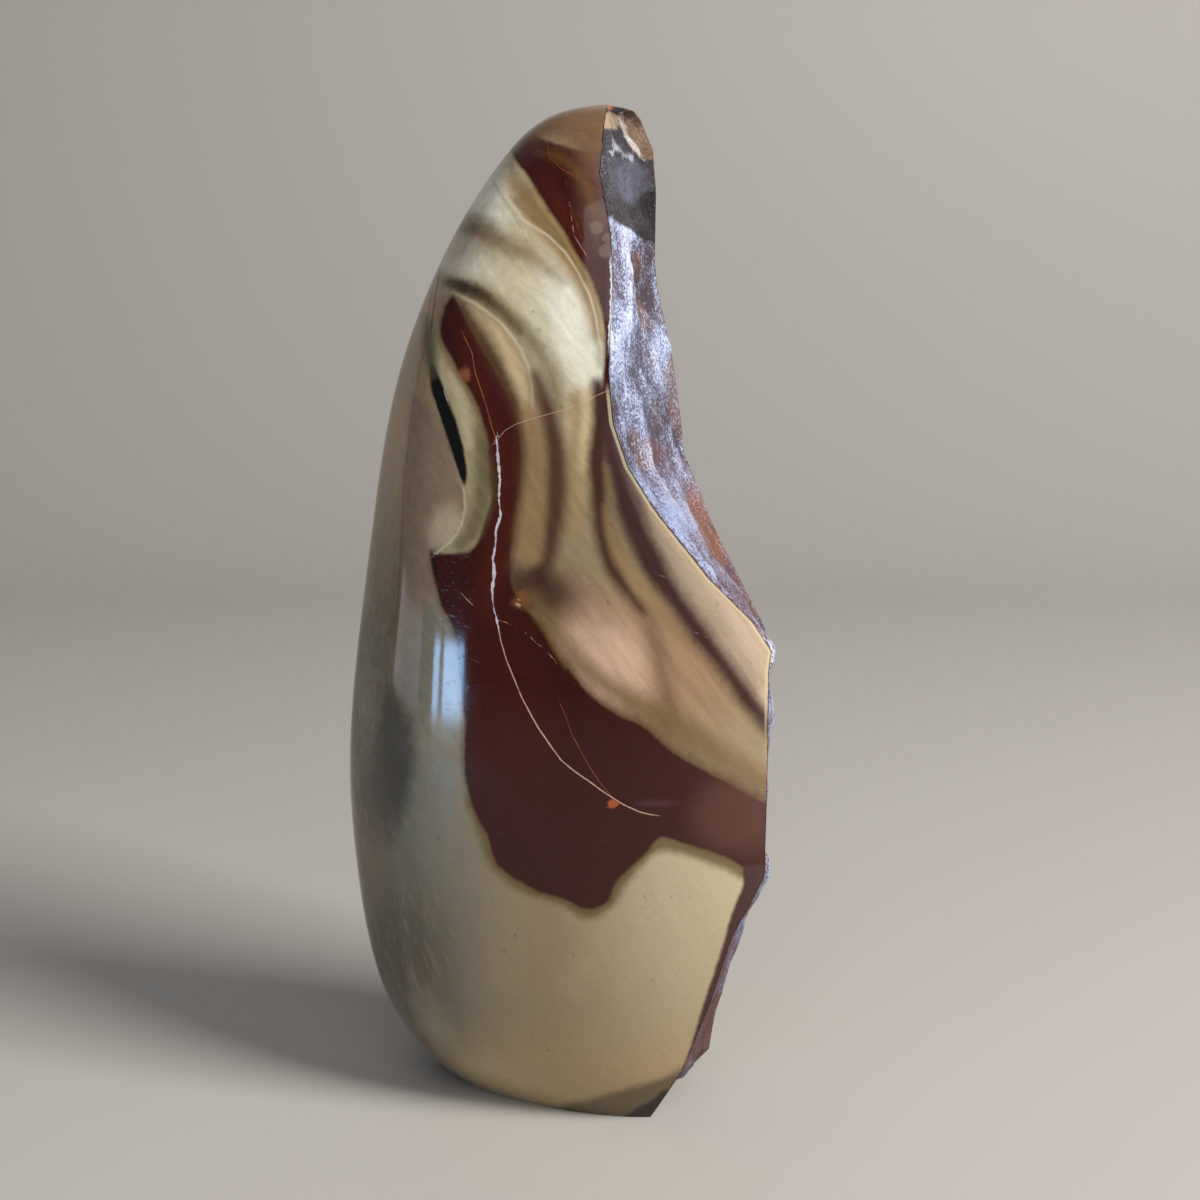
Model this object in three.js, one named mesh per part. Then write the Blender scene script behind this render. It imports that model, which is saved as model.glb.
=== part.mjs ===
// A freeform of banded jasper: one standing stone, ground and polished on its front,
// left flank and back, with its right side left as it broke. Millimetres, +Z up, and
// the front faces -Y. The stone is a stack of level sections that ends in a rounded tip.
import * as THREE from 'three';

// Stations of the polished body, from the flat spot it stands on up to the tip.
// left is the leftmost x of the outline, the axis is the section's own centre, and
// right, front and back are half-widths in axes turned clockwise by turn degrees.
// square is the section's squareness (2 is an ellipse). flank_x is where the ground
// left flank meets the front, and flank_turn is how far that flank faces forward.
const STATION_KEYS = [
  'height', 'left', 'axis_x', 'axis_y', 'right', 'front', 'back', 'turn', 'square', 'flank_x', 'flank_turn',
];
const STATIONS = [
  [0, -29.5, -8, 0.5, 30, 14.6, 17, 32, 2.1, -26.5, 14],
  [8, -36.4, -9, 0.5, 36, 20.6, 20.5, 23, 2.3, -31.5, 20],
  [20, -42, -9, 0.5, 41, 24, 23, 18, 2.6, -33, 24],
  [38, -45.4, -8.5, 0.5, 46, 25, 24.5, 15, 2.7, -33.5, 26],
  [58, -45.3, -8, 1, 47, 24.5, 25, 14, 2.7, -36, 27],
  [78, -43.7, -8, 1.5, 46, 23.5, 24.5, 14, 2.7, -35, 25],
  [98, -41, -9, 2, 42, 22, 23.5, 14, 2.7, -33, 23],
  [118, -37.2, -10, 2.5, 38, 20.5, 22, 14, 2.7, -31, 21],
  [136, -30.8, -8, 3, 31, 18.5, 19.5, 14, 2.6, -28, 20],
  [150, -24, -5, 3.5, 24, 15.5, 16, 14, 2.5, -22.5, 20],
  [161, -16.7, -2, 4, 17, 11.5, 12, 14, 2.4, -16, 20],
  [168, -9.1, 0, 4.5, 10, 7, 7.5, 14, 2.2, -9, 20],
  [170.2, -0.4, 0.6, 5, 0.3, 0.2, 0.2, 14, 2, 0.2, 20],
];

// The two sharp edges of the broken side, as height and x, on the front and the back.
const FRONT_EDGE = [
  [0, 8.6], [10, 13.8], [22, 18], [34, 21.6], [44, 27], [57, 27.3], [78, 27.5], [81, 28], [86, 24.8],
  [93, 17.8], [104, 9], [111, 4.6], [118, 2.2], [126, 1.4], [140, 2.1], [148, 1.8], [158, 0], [166, 0.7], [171, 1.4],
];
const BACK_EDGE = [
  [0, 18.6], [10, 21.3], [25, 26.1], [34, 28.6], [58, 29.6], [79, 29.8], [84, 27.1], [97, 20.5], [110, 15.2],
  [119, 14.2], [128, 12.8], [140, 10.1], [144, 9.7], [156, 9.8], [163, 9.2], [168, 7], [171, 4],
];

// The shells that broke out of the right side: height, place across (0 back edge,
// 1 front edge), half-height, half-width across, depth. Where two meet, a ridge stands.
const BULGE = 1.8;
const CHIPS = [
  [158, 0.6, 13, 0.5, 1.7],
  [146, 0.25, 8, 0.35, 1.5],
  [135, 0.65, 15, 0.55, 1.4],
  [117, 0.45, 14, 0.55, 1.5],
  [101, 0.5, 13, 0.5, 1.4],
  [87, 0.6, 10, 0.45, 1.3],
  [64, 0.5, 19, 0.55, 2.2],
  [41, 0.45, 14, 0.5, 1.9],
  [23, 0.6, 12, 0.5, 1.6],
  [9, 0.4, 9, 0.45, 1.2],
];

// How finely the surface is cut: rows up the stone, columns round it.
const ROWS = 55;
const SKIN_COLUMNS = 64;
const WALL_COLUMNS = 16;
const LAST_CLIMB = 0.985;
const CREASE_SHARPNESS = 26;
const EDGE_REACH = 0.86;
const NARROW_WALL = 12;

// A natural cubic spline through the values at the given positions.
function spline(positions, values) {
  const count = positions.length;
  const gaps = positions.slice(1).map((p, i) => p - positions[i]);
  const slopes = gaps.map((gap, i) => (values[i + 1] - values[i]) / gap);
  const upper = new Array(count).fill(0);
  const bend = new Array(count).fill(0);
  for (let i = 1; i < count - 1; i += 1) {
    const pivot = 2 * (gaps[i - 1] + gaps[i]) - gaps[i - 1] * upper[i - 1];
    upper[i] = gaps[i] / pivot;
    bend[i] = (6 * (slopes[i] - slopes[i - 1]) - gaps[i - 1] * bend[i - 1]) / pivot;
  }
  for (let i = count - 2; i > 0; i -= 1) bend[i] -= upper[i] * bend[i + 1];
  return (at) => {
    let i = 0;
    while (i < count - 2 && at >= positions[i + 1]) i += 1;
    const below = at - positions[i];
    const above = positions[i + 1] - at;
    const gap = gaps[i];
    const curve = (bend[i] * above ** 3 + bend[i + 1] * below ** 3) / (6 * gap);
    const start = (values[i] / gap - (bend[i] * gap) / 6) * above;
    return curve + start + (values[i + 1] / gap - (bend[i + 1] * gap) / 6) * below;
  };
}

// Each number of a section as a curve of the climb, which runs from 0 at the base to
// 1 at the tip, along the left outline.
function bodyRails() {
  const climb = [0];
  for (let i = 1; i < STATIONS.length; i += 1) {
    const rise = STATIONS[i][0] - STATIONS[i - 1][0];
    const run = STATIONS[i][1] - STATIONS[i - 1][1];
    climb.push(climb[i - 1] + Math.hypot(rise, run));
  }
  const total = climb[climb.length - 1];
  const places = climb.map((length) => length / total);
  return STATION_KEYS.map((key, k) => [key, spline(places, STATIONS.map((station) => station[k]))]);
}

function interpolate(table, at) {
  let i = 0;
  while (i < table.length - 2 && at > table[i + 1][0]) i += 1;
  const [low, lowValue] = table[i];
  const [high, highValue] = table[i + 1];
  return THREE.MathUtils.mapLinear(at, low, high, lowValue, highValue);
}

// The distance from the axis to the rounded body, at a plan angle.
function bodyRadius(section, angle) {
  const turned = angle + THREE.MathUtils.degToRad(section.turn);
  const across = Math.cos(turned);
  const deep = Math.sin(turned);
  const halfWidth = across > 0 ? section.right : section.axis_x - section.left;
  const halfDepth = deep > 0 ? section.back : section.front;
  const n = section.square;
  return (Math.abs(across / halfWidth) ** n + Math.abs(deep / halfDepth) ** n) ** (-1 / n);
}

// The plan angle at which a radius function reaches a given x: side is -1 for the
// front and 1 for the back.
function angleAtX(section, radius, x, side) {
  let low = 0.02;
  let high = Math.PI - 0.02;
  for (let step = 0; step < 44; step += 1) {
    const middle = (low + high) / 2;
    const reached = section.axis_x + radius(section, middle * side) * Math.cos(middle);
    if (reached > x) low = middle;
    else high = middle;
  }
  return ((low + high) / 2) * side;
}

// The distance from the axis to the polished skin: the rounded body, with the flank
// ground flat and a softened crease between the two.
function skinRadius(section, angle) {
  const body = bodyRadius(section, angle);
  const facing = Math.cos(angle - section.flankAngle);
  const flank = facing > 0.05 ? section.flankReach / facing : 1e9;
  const least = Math.min(body, flank);
  const blend = (body / least) ** -CREASE_SHARPNESS + (flank / least) ** -CREASE_SHARPNESS;
  return least * blend ** (-1 / CREASE_SHARPNESS);
}

function sectionAt(rails, climb) {
  const section = Object.fromEntries(rails.map(([key, curve]) => [key, curve(climb)]));
  section.flankAngle = THREE.MathUtils.degToRad(180 + section.flank_turn);
  const crease = angleAtX(section, bodyRadius, section.flank_x, -1);
  section.flankReach = Math.max(bodyRadius(section, crease) * Math.cos(crease - section.flankAngle), 0.05);
  return section;
}

function skinPoint(section, angle) {
  const radius = skinRadius(section, angle);
  return [section.axis_x + radius * Math.cos(angle), section.axis_y + radius * Math.sin(angle)];
}

// How far the broken wall stands out from the straight line between its two edges.
function wallOffset(height, across) {
  const deepest = CHIPS.map(([chipHeight, place, tall, wide, depth]) => {
    const away = ((height - chipHeight) / tall) ** 2 + ((across - place) / wide) ** 2;
    return depth * Math.max(0, 1 - away);
  });
  return BULGE - Math.max(...deepest);
}

// One closed section: the polished skin from the front edge round the left flank and
// the back to the back edge, at even steps, then the broken wall to the front edge.
function sectionRing(section) {
  const reach = section.axis_x + EDGE_REACH * section.right;
  const frontX = Math.min(interpolate(FRONT_EDGE, section.height), reach);
  const backX = Math.min(interpolate(BACK_EDGE, section.height), reach);
  const start = angleAtX(section, skinRadius, frontX, -1);
  const end = angleAtX(section, skinRadius, backX, 1) - 2 * Math.PI;
  const fineSteps = 720;
  const fine = Array.from({ length: fineSteps + 1 }, (_, i) => start + ((end - start) * i) / fineSteps);
  const walked = [[0, start]];
  let last = skinPoint(section, start);
  for (const angle of fine.slice(1)) {
    const next = skinPoint(section, angle);
    walked.push([walked[walked.length - 1][0] + Math.hypot(next[0] - last[0], next[1] - last[1]), angle]);
    last = next;
  }
  const around = walked[walked.length - 1][0];
  const ring = [];
  for (let i = 0; i <= SKIN_COLUMNS; i += 1) {
    ring.push(skinPoint(section, interpolate(walked, (around * i) / SKIN_COLUMNS)));
  }
  const back = ring[SKIN_COLUMNS];
  const front = ring[0];
  const length = Math.hypot(front[0] - back[0], front[1] - back[1]);
  const outward = [(back[1] - front[1]) / -length, (back[0] - front[0]) / length];
  for (let i = 1; i < WALL_COLUMNS; i += 1) {
    const across = i / WALL_COLUMNS;
    const fade = 4 * across * (1 - across) * Math.min(1, length / NARROW_WALL);
    const offset = wallOffset(section.height, across) * fade;
    ring.push([
      back[0] + (front[0] - back[0]) * across - outward[0] * offset,
      back[1] + (front[1] - back[1]) * across - outward[1] * offset,
    ]);
  }
  return ring.map(([x, y]) => [x, y, section.height]);
}

// The closed surface: rings joined by quads, a flat base and a small cap at the tip.
function stoneGeometry() {
  const rails = bodyRails();
  const rings = [];
  for (let row = 0; row <= ROWS; row += 1) {
    rings.push(sectionRing(sectionAt(rails, (LAST_CLIMB * row) / ROWS)));
  }
  const columns = rings[0].length;
  const base = sectionAt(rails, 0);
  const tip = sectionAt(rails, 1);
  const points = rings.flat();
  points.push([base.axis_x, base.axis_y, 0], [tip.axis_x, tip.axis_y, tip.height]);
  const baseCentre = points.length - 2;
  const tipCentre = points.length - 1;
  const faces = [];
  for (let column = 0; column < columns; column += 1) {
    const next = (column + 1) % columns;
    faces.push([baseCentre, column, next]);
    faces.push([tipCentre, ROWS * columns + next, ROWS * columns + column]);
    for (let row = 0; row < ROWS; row += 1) {
      const here = row * columns;
      const above = here + columns;
      faces.push([here + column, above + column, above + next]);
      faces.push([here + column, above + next, here + next]);
    }
  }
  const geometry = new THREE.BufferGeometry();
  geometry.setAttribute('position', new THREE.Float32BufferAttribute(points.flat(), 3));
  geometry.setIndex(faces.flat());
  geometry.computeVertexNormals();
  return geometry;
}

const jasper = new THREE.MeshStandardMaterial({ color: 0x8a6d4b, roughness: 0.2, metalness: 0 });

const stone = new THREE.Mesh(stoneGeometry(), jasper);
stone.name = 'stone';
stone.geometry.computeBoundingBox();
const middle = stone.geometry.boundingBox.getCenter(new THREE.Vector3());
stone.position.set(-middle.x, -middle.y, 0);

const freeform = new THREE.Group();
freeform.add(stone);

export default freeform;
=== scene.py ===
# %% [markdown]
# # A polished jasper freeform
# This lesson dresses one standing stone. Its front, flank and back are ground and
# polished, its right side is broken, and its colours are bands of iron-stained quartz.
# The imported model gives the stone's place and size, so it is loaded before anything else.

# %% Load the frame
import math
import bpy
import numpy as np
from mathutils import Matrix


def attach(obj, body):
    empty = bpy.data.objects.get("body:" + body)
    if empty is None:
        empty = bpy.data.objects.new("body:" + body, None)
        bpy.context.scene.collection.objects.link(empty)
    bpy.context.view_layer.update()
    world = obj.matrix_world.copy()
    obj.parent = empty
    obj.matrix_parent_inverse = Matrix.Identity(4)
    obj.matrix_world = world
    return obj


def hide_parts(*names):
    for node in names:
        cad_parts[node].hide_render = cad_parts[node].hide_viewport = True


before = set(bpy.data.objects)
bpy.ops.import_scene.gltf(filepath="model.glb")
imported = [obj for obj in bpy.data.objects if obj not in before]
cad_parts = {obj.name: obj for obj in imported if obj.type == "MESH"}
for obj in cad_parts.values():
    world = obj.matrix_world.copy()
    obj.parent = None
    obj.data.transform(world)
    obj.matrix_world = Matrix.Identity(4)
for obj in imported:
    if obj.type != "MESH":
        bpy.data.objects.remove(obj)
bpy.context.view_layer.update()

# %% [markdown]
# ## The camera
# The camera is made first, because the stone's markings are placed where it sees them.
# The picture is 1200 by 1200, and at a lens of 60 mm on a 36 mm sensor one picture unit
# is a 2000th of the distance. The stone's sections are drawn about x = 0 in the middle
# of that picture, and the model's frame has its own centre, so the two differ by a shift.

# %% Camera
PICTURE = 1200
FOCUS = 2000.0
PITCH = math.radians(9.0)
EYE = np.array([0.0, -342.7, 140.3])
SENSOR_WIDTH = 36.0
NEAREST_SEEN = 0.01
MM = 0.001
print("lens", SENSOR_WIDTH * FOCUS / PICTURE, "mm")


def add_object(name, data):
    """A new object in the scene, with its data."""
    made = bpy.data.objects.new(name, data)
    bpy.context.scene.collection.objects.link(made)
    return made


def add_camera(shift):
    """A camera at the eye, moved with the stone, looking down by the pitch."""
    data = bpy.data.cameras.new("camera")
    data.sensor_width = SENSOR_WIDTH
    data.lens = data.sensor_width * FOCUS / PICTURE
    data.clip_start = NEAREST_SEEN
    camera = add_object("camera", data)
    camera.location = (EYE + shift) * MM
    camera.rotation_euler = (math.radians(90) - PITCH, 0, 0)
    bpy.context.scene.camera = camera


def picture_place(points):
    """Where the camera sees points: across and down the picture, in its 1200 units."""
    ray = points - EYE
    deep = ray[:, 1] * math.cos(PITCH) - ray[:, 2] * math.sin(PITCH)
    high = ray[:, 1] * math.sin(PITCH) + ray[:, 2] * math.cos(PITCH)
    middle = PICTURE / 2
    return np.stack([middle + FOCUS * ray[:, 0] / deep, middle - FOCUS * high / deep], axis=1)

# %% [markdown]
# ## The body of the stone
# A stone like this is sawn, then ground by hand on a wheel until every face flows into
# the next. It could be sculpted, or cut from planes and rounded. Level sections whose
# few numbers change smoothly with height give the same flow, and the solid model uses
# them too, so both keep one outline. Each number follows a natural cubic spline.

# %% Stations up the stone
STATION_KEYS = "height left axis_x axis_y right front back turn square flank_x flank_turn".split()
STATIONS = np.array([
    [0, -29.5, -8, 0.5, 30, 14.6, 17, 32, 2.1, -26.5, 14],
    [8, -36.4, -9, 0.5, 36, 20.6, 20.5, 23, 2.3, -31.5, 20],
    [20, -42, -9, 0.5, 41, 24, 23, 18, 2.6, -33, 24],
    [38, -45.4, -8.5, 0.5, 46, 25, 24.5, 15, 2.7, -33.5, 26],
    [58, -45.3, -8, 1, 47, 24.5, 25, 14, 2.7, -36, 27],
    [78, -43.7, -8, 1.5, 46, 23.5, 24.5, 14, 2.7, -35, 25],
    [98, -41, -9, 2, 42, 22, 23.5, 14, 2.7, -33, 23],
    [118, -37.2, -10, 2.5, 38, 20.5, 22, 14, 2.7, -31, 21],
    [136, -30.8, -8, 3, 31, 18.5, 19.5, 14, 2.6, -28, 20],
    [150, -24, -5, 3.5, 24, 15.5, 16, 14, 2.5, -22.5, 20],
    [161, -16.7, -2, 4, 17, 11.5, 12, 14, 2.4, -16, 20],
    [168, -9.1, 0, 4.5, 10, 7, 7.5, 14, 2.2, -9, 20],
    [170.2, -0.4, 0.6, 5, 0.3, 0.2, 0.2, 14, 2, 0.2, 20],
])
print(len(STATIONS), "stations up to", STATIONS[-1, 0], "mm")


# %% A smooth curve through the stations
def spline(places, values):
    """A natural cubic spline through values at places."""
    gaps = np.diff(places)
    count = len(places)
    system = np.eye(count)
    right = np.zeros(count)
    for i in range(1, count - 1):
        system[i, i - 1:i + 2] = gaps[i - 1], 2 * (gaps[i - 1] + gaps[i]), gaps[i]
        slope_after = (values[i + 1] - values[i]) / gaps[i]
        slope_before = (values[i] - values[i - 1]) / gaps[i - 1]
        right[i] = 6 * (slope_after - slope_before)
    bend = np.linalg.solve(system, right)

    def curve(at):
        i = int(np.clip(np.searchsorted(places, at, "right") - 1, 0, count - 2))
        below, above, gap = at - places[i], places[i + 1] - at, gaps[i]
        value = (bend[i] * above**3 + bend[i + 1] * below**3) / (6 * gap)
        value += (values[i] / gap - bend[i] * gap / 6) * above
        return value + (values[i + 1] / gap - bend[i + 1] * gap / 6) * below

    return curve


climb_steps = np.hypot(np.diff(STATIONS[:, 0]), np.diff(STATIONS[:, 1]))
climb_places = np.concatenate([[0], np.cumsum(climb_steps)]) / climb_steps.sum()
rails = {key: spline(climb_places, STATIONS[:, k]) for k, key in enumerate(STATION_KEYS)}
print(len(rails), "curves, a climb of", climb_steps.sum().round(), "mm")

# %% Radius of the body and of its ground skin
CREASE_SHARPNESS = 26
LEAST_FACING = 0.05
FAR_OUTSIDE = 1e9
LEAST_ANGLE = 0.02
HALVINGS = 40


def body_radius(section, angle):
    """The rounded body before its flank is ground."""
    turned = angle + math.radians(section["turn"])
    across, deep = np.cos(turned), np.sin(turned)
    half_width = np.where(across > 0, section["right"], section["axis_x"] - section["left"])
    half_depth = np.where(deep > 0, section["back"], section["front"])
    n = section["square"]
    return (np.abs(across / half_width)**n + np.abs(deep / half_depth)**n)**(-1 / n)


def skin_radius(section, angle):
    """The rounded body with its left flank ground flat, and a softened crease between."""
    body = body_radius(section, angle)
    facing = np.cos(angle - section["flank_angle"])
    reach = section["flank_reach"] / np.maximum(facing, LEAST_FACING)
    flank = np.where(facing > LEAST_FACING, reach, FAR_OUTSIDE)
    least = np.minimum(body, flank)
    blend = (body / least)**-CREASE_SHARPNESS + (flank / least)**-CREASE_SHARPNESS
    return least * blend**(-1 / CREASE_SHARPNESS)


def angle_at_x(section, radius, x, side):
    """The plan angle where a radius reaches x, on the front (side -1) or the back (1)."""
    low, high = LEAST_ANGLE, math.pi - LEAST_ANGLE
    for _ in range(HALVINGS):
        middle = (low + high) / 2
        if section["axis_x"] + radius(section, middle * side) * math.cos(middle) > x:
            low = middle
        else:
            high = middle
    return (low + high) / 2 * side

# %% One section
LEAST_REACH = 0.05
WIDEST_CLIMB = 0.3


def section_at(climb):
    """All the numbers of the section at a share of the climb from base to tip."""
    section = {key: float(curve(climb)) for key, curve in rails.items()}
    section["flank_angle"] = math.radians(180 + section["flank_turn"])
    crease = angle_at_x(section, body_radius, section["flank_x"], -1)
    reach = body_radius(section, crease) * math.cos(crease - section["flank_angle"])
    section["flank_reach"] = max(float(reach), LEAST_REACH)
    return section


def skin_points(section, angles):
    radius = skin_radius(section, angles)
    x = section["axis_x"] + radius * np.cos(angles)
    return np.stack([x, section["axis_y"] + radius * np.sin(angles)], axis=1)


all_round = np.linspace(-math.pi, math.pi, 90)
print("widest section reaches", skin_points(section_at(WIDEST_CLIMB), all_round).round(1).max(0), "mm")

# %% [markdown]
# ## The broken side
# The right side was never ground. It broke along a surface that bows out a little, and
# shells came off it and left shallow bowls with ridges between. In each section it runs
# between two sharp edges, so the edges are written as heights and places, and a column
# of the mesh is tied to each, which keeps them crisp.

# %% Edges and chips of the wall
FRONT_EDGE = np.array([
    (0, 8.6), (10, 13.8), (22, 18), (34, 21.6), (44, 27), (57, 27.3), (78, 27.5), (81, 28), (86, 24.8),
    (93, 17.8), (104, 9), (111, 4.6), (118, 2.2), (126, 1.4), (140, 2.1), (148, 1.8), (158, 0), (166, 0.7),
    (171, 1.4),
])
BACK_EDGE = np.array([
    (0, 18.6), (10, 21.3), (25, 26.1), (34, 28.6), (58, 29.6), (79, 29.8), (84, 27.1), (97, 20.5),
    (110, 15.2), (119, 14.2), (128, 12.8), (140, 10.1), (144, 9.7), (156, 9.8), (163, 9.2), (168, 7),
    (171, 4),
])
BULGE = 1.8
# Each chip is a bowl: its height, its place across the wall, half its height, half its width, its depth.
CHIPS = np.array([
    [158, 0.6, 13, 0.5, 1.7],
    [146, 0.25, 8, 0.35, 1.5],
    [135, 0.65, 15, 0.55, 1.4],
    [117, 0.45, 14, 0.55, 1.5],
    [101, 0.5, 13, 0.5, 1.4],
    [87, 0.6, 10, 0.45, 1.3],
    [64, 0.5, 19, 0.55, 2.2],
    [41, 0.45, 14, 0.5, 1.9],
    [23, 0.6, 12, 0.5, 1.6],
    [9, 0.4, 9, 0.45, 1.2],
])
print(len(CHIPS), "chips, up to", CHIPS[:, 4].max(), "mm deep")

# %% One ring round the stone
EDGE_REACH = 0.86
NARROW_WALL = 12.0
SKIN_COLUMNS = 300
WALL_COLUMNS = 96
COLUMNS = SKIN_COLUMNS + WALL_COLUMNS
FINE_ANGLES = 721


def wall_offset(height, across):
    """How far the wall stands out from its chord, in millimetres."""
    away = ((height - CHIPS[:, 0, None]) / CHIPS[:, 2, None])**2
    away = away + ((across - CHIPS[:, 1, None]) / CHIPS[:, 3, None])**2
    return BULGE - (CHIPS[:, 4, None] * np.maximum(0, 1 - away)).max(0)


def section_ring(section):
    """The skin from the front edge round the left to the back edge, then the wall."""
    reach = section["axis_x"] + EDGE_REACH * section["right"]
    front_x = min(np.interp(section["height"], *FRONT_EDGE.T), reach)
    back_x = min(np.interp(section["height"], *BACK_EDGE.T), reach)
    start = angle_at_x(section, skin_radius, front_x, -1)
    end = angle_at_x(section, skin_radius, back_x, 1) - 2 * math.pi
    fine = np.linspace(start, end, FINE_ANGLES)
    pieces = np.hypot(*np.diff(skin_points(section, fine), axis=0).T)
    walked = np.concatenate([[0], np.cumsum(pieces)])
    skin_walk = np.linspace(0, walked[-1], SKIN_COLUMNS + 1)
    skin = skin_points(section, np.interp(skin_walk, walked, fine))
    front, back = skin[0], skin[-1]
    across = np.arange(1, WALL_COLUMNS) / WALL_COLUMNS
    line = front - back
    length = math.hypot(*line)
    outward = np.array([-line[1], line[0]]) / -length
    arch = 4 * across * (1 - across)
    bow = wall_offset(section["height"], across) * arch * min(1, length / NARROW_WALL)
    wall = back + line * across[:, None] + outward * bow[:, None]
    skin_depth = -np.minimum(skin_walk, walked[-1] - skin_walk)
    depth = np.concatenate([skin_depth, np.minimum(across, 1 - across) * length])
    ring = np.concatenate([skin, wall])
    toward_front = np.concatenate([np.where(skin_walk < walked[-1] / 2, 1.0, 0.0), across])
    return np.column_stack([ring, np.full(len(ring), section["height"]), depth, toward_front])

# %% All the rings
ROWS = 249
LAST_CLIMB = 0.997
CENTRE_DEPTH = -9
sections = [section_at(LAST_CLIMB * row / ROWS) for row in range(ROWS + 1)]
rings = [section_ring(section) for section in sections]
base, tip = section_at(0), section_at(1)
base_centre = [base["axis_x"], base["axis_y"], 0, CENTRE_DEPTH, 0]
tip_centre = [tip["axis_x"], tip["axis_y"], tip["height"], CENTRE_DEPTH, 0]
vertices = np.concatenate(rings + [[base_centre, tip_centre]])
points, wall_depth, wall_across = vertices[:, :3], vertices[:, 3], vertices[:, 4]
shift = -(points.max(0) + points.min(0)) / 2 * (1, 1, 0)
add_camera(shift)
print("stone", points.max(0) - points.min(0), "mm, shift", shift)

# %% [markdown]
# ## One closed mesh
# Rings joined by quads, a fan under the base and a fan at the tip make a closed surface.
# The two edges of the broken side and the rim of the base are marked sharp, so that
# smooth shading stops there.


# %% Join the rings
def ring_faces():
    """Quads between the rings, and the two fans."""
    column = np.arange(COLUMNS)
    after = (column + 1) % COLUMNS
    rows = (np.arange(ROWS) * COLUMNS)[:, None]
    quads = np.stack([rows + column, rows + COLUMNS + column, rows + COLUMNS + after, rows + after], axis=2)
    centre, top = len(points) - 2, len(points) - 1
    under = np.stack([np.full(COLUMNS, centre), column, after], axis=1)
    over = np.stack([np.full(COLUMNS, top), ROWS * COLUMNS + after, ROWS * COLUMNS + column], axis=1)
    return quads.reshape(-1, 4).tolist() + under.tolist() + over.tolist()


def stone_mesh():
    mesh = bpy.data.meshes.new("stone_skin")
    mesh.from_pydata(((points + shift) * MM).tolist(), [], ring_faces())
    mesh.shade_smooth()
    ends = np.zeros(len(mesh.edges) * 2, int)
    mesh.edges.foreach_get("vertices", ends)
    low, high = ends.reshape(-1, 2).T
    columns_alike = (low % COLUMNS == high % COLUMNS) & np.isin(low % COLUMNS, (0, SKIN_COLUMNS))
    rim = (low < COLUMNS) & (high < COLUMNS)
    sharp = mesh.attributes.new("sharp_edge", "BOOLEAN", "EDGE")
    sharp.data.foreach_set("value", columns_alike | rim)
    return mesh


def store(mesh, name, values):
    """Keep one number, or one vector, for each vertex."""
    values = np.asarray(values, np.float32)
    kind, field = ("FLOAT", "value") if values.ndim == 1 else ("FLOAT_VECTOR", "vector")
    mesh.attributes.new(name, kind, "POINT").data.foreach_set(field, values.ravel())


mesh = stone_mesh()
store(mesh, "wall_depth", wall_depth)
store(mesh, "wall_across", wall_across)
print(len(mesh.vertices), "vertices,", 2 * ROWS * COLUMNS + 2 * COLUMNS, "triangles")

# %% [markdown]
# ## Where the markings go
# Bands in jasper run through the whole stone, so a marking drawn on the front comes out
# on the back too. Each vertex gets its place in the picture, in hundreds of its units.
# Behind the outline that place drifts and wanders, so the back is the same banding cut
# at another depth. The broken side's vertices don't drift.

# %% Picture places of the vertices
BACK_DRIFT = np.array([46.0, -70.0])
BACK_START, BACK_END = 2.0, 22.0
DRIFT_WANDER = np.array([16.0, 20.0])
ACROSS_WAVES = [(0.05, 0.02, 0.06, 1.0), (0.11, 0.05, -0.09, 2.0)]
DOWN_WAVES = [(0.07, -0.03, 0.04, 0.5), (-0.10, 0.06, 0.12, 4.0)]
PLACE_UNIT = 100


def wander(at, turns):
    """A slow, smooth, repeatable wobble of a few waves."""
    total = np.zeros(len(at))
    for k, (a, b, c, phase) in enumerate(turns):
        total += np.sin(at[:, 0] * a + at[:, 1] * b + at[:, 2] * c + phase) / (k + 1)
    return total


def fade(values, low, high):
    """A smooth step from 0 at low to 1 at high."""
    t = np.clip((values - low) / (high - low), 0, 1)
    return t * t * (3 - 2 * t)


behind = fade(points[:, 1], BACK_START, BACK_END) * (wall_depth <= 0)
wandered = np.stack([wander(points, ACROSS_WAVES), wander(points, DOWN_WAVES)], axis=1)
place = picture_place(points) + behind[:, None] * (BACK_DRIFT + DRIFT_WANDER * wandered)
on_front = 1 - behind
store(mesh, "picture", np.column_stack([place / PLACE_UNIT, on_front]))
print("picture places", place.min(0).round(), place.max(0).round())

# %% [markdown]
# ## Drawing tools
# A marking is a region with an outline, a stripe with a width, or a crack. Painted
# colours on vertices would blur over a whole face. A distance doesn't: each vertex
# keeps how far inside the marking it is, in millimetres, and the material turns that
# into an edge as soft or as crisp as the stone's. A crack keeps the distance to either
# side of its line, because that stays straight across the middle. Each drawing function
# returns the marking's name, for paint to use.

# %% Curves and distances
PICTURE_PER_MM = 5.9
FAR = 9.0
VERY_FAR = 1e9
TINY = 1e-9
print("distances are kept up to", FAR, "mm")


def rounded(corners, closed, steps=5):
    """A Catmull-Rom curve through the corners."""
    corners = np.array(corners, float)
    if closed:
        padded = np.concatenate([corners[-1:], corners, corners[:2]])
    else:
        padded = np.concatenate([corners[:1], corners, corners[-1:]])
    t = np.linspace(0, 1, steps, endpoint=False)[:, None]
    pieces = []
    for a, b, c, d in zip(padded, padded[1:], padded[2:], padded[3:]):
        pieces.append(0.5 * (2 * b + (c - a) * t + (2 * a - 5 * b + 4 * c - d) * t**2
                             + (3 * b - a - 3 * c + d) * t**3))
    return np.concatenate(pieces if closed else pieces + [corners[-1:]])


def near(outline, margin):
    """The vertices close enough to an outline to need a distance."""
    low, high = outline.min(0) - margin, outline.max(0) + margin
    return np.flatnonzero(((place > low) & (place < high)).all(1))


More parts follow.
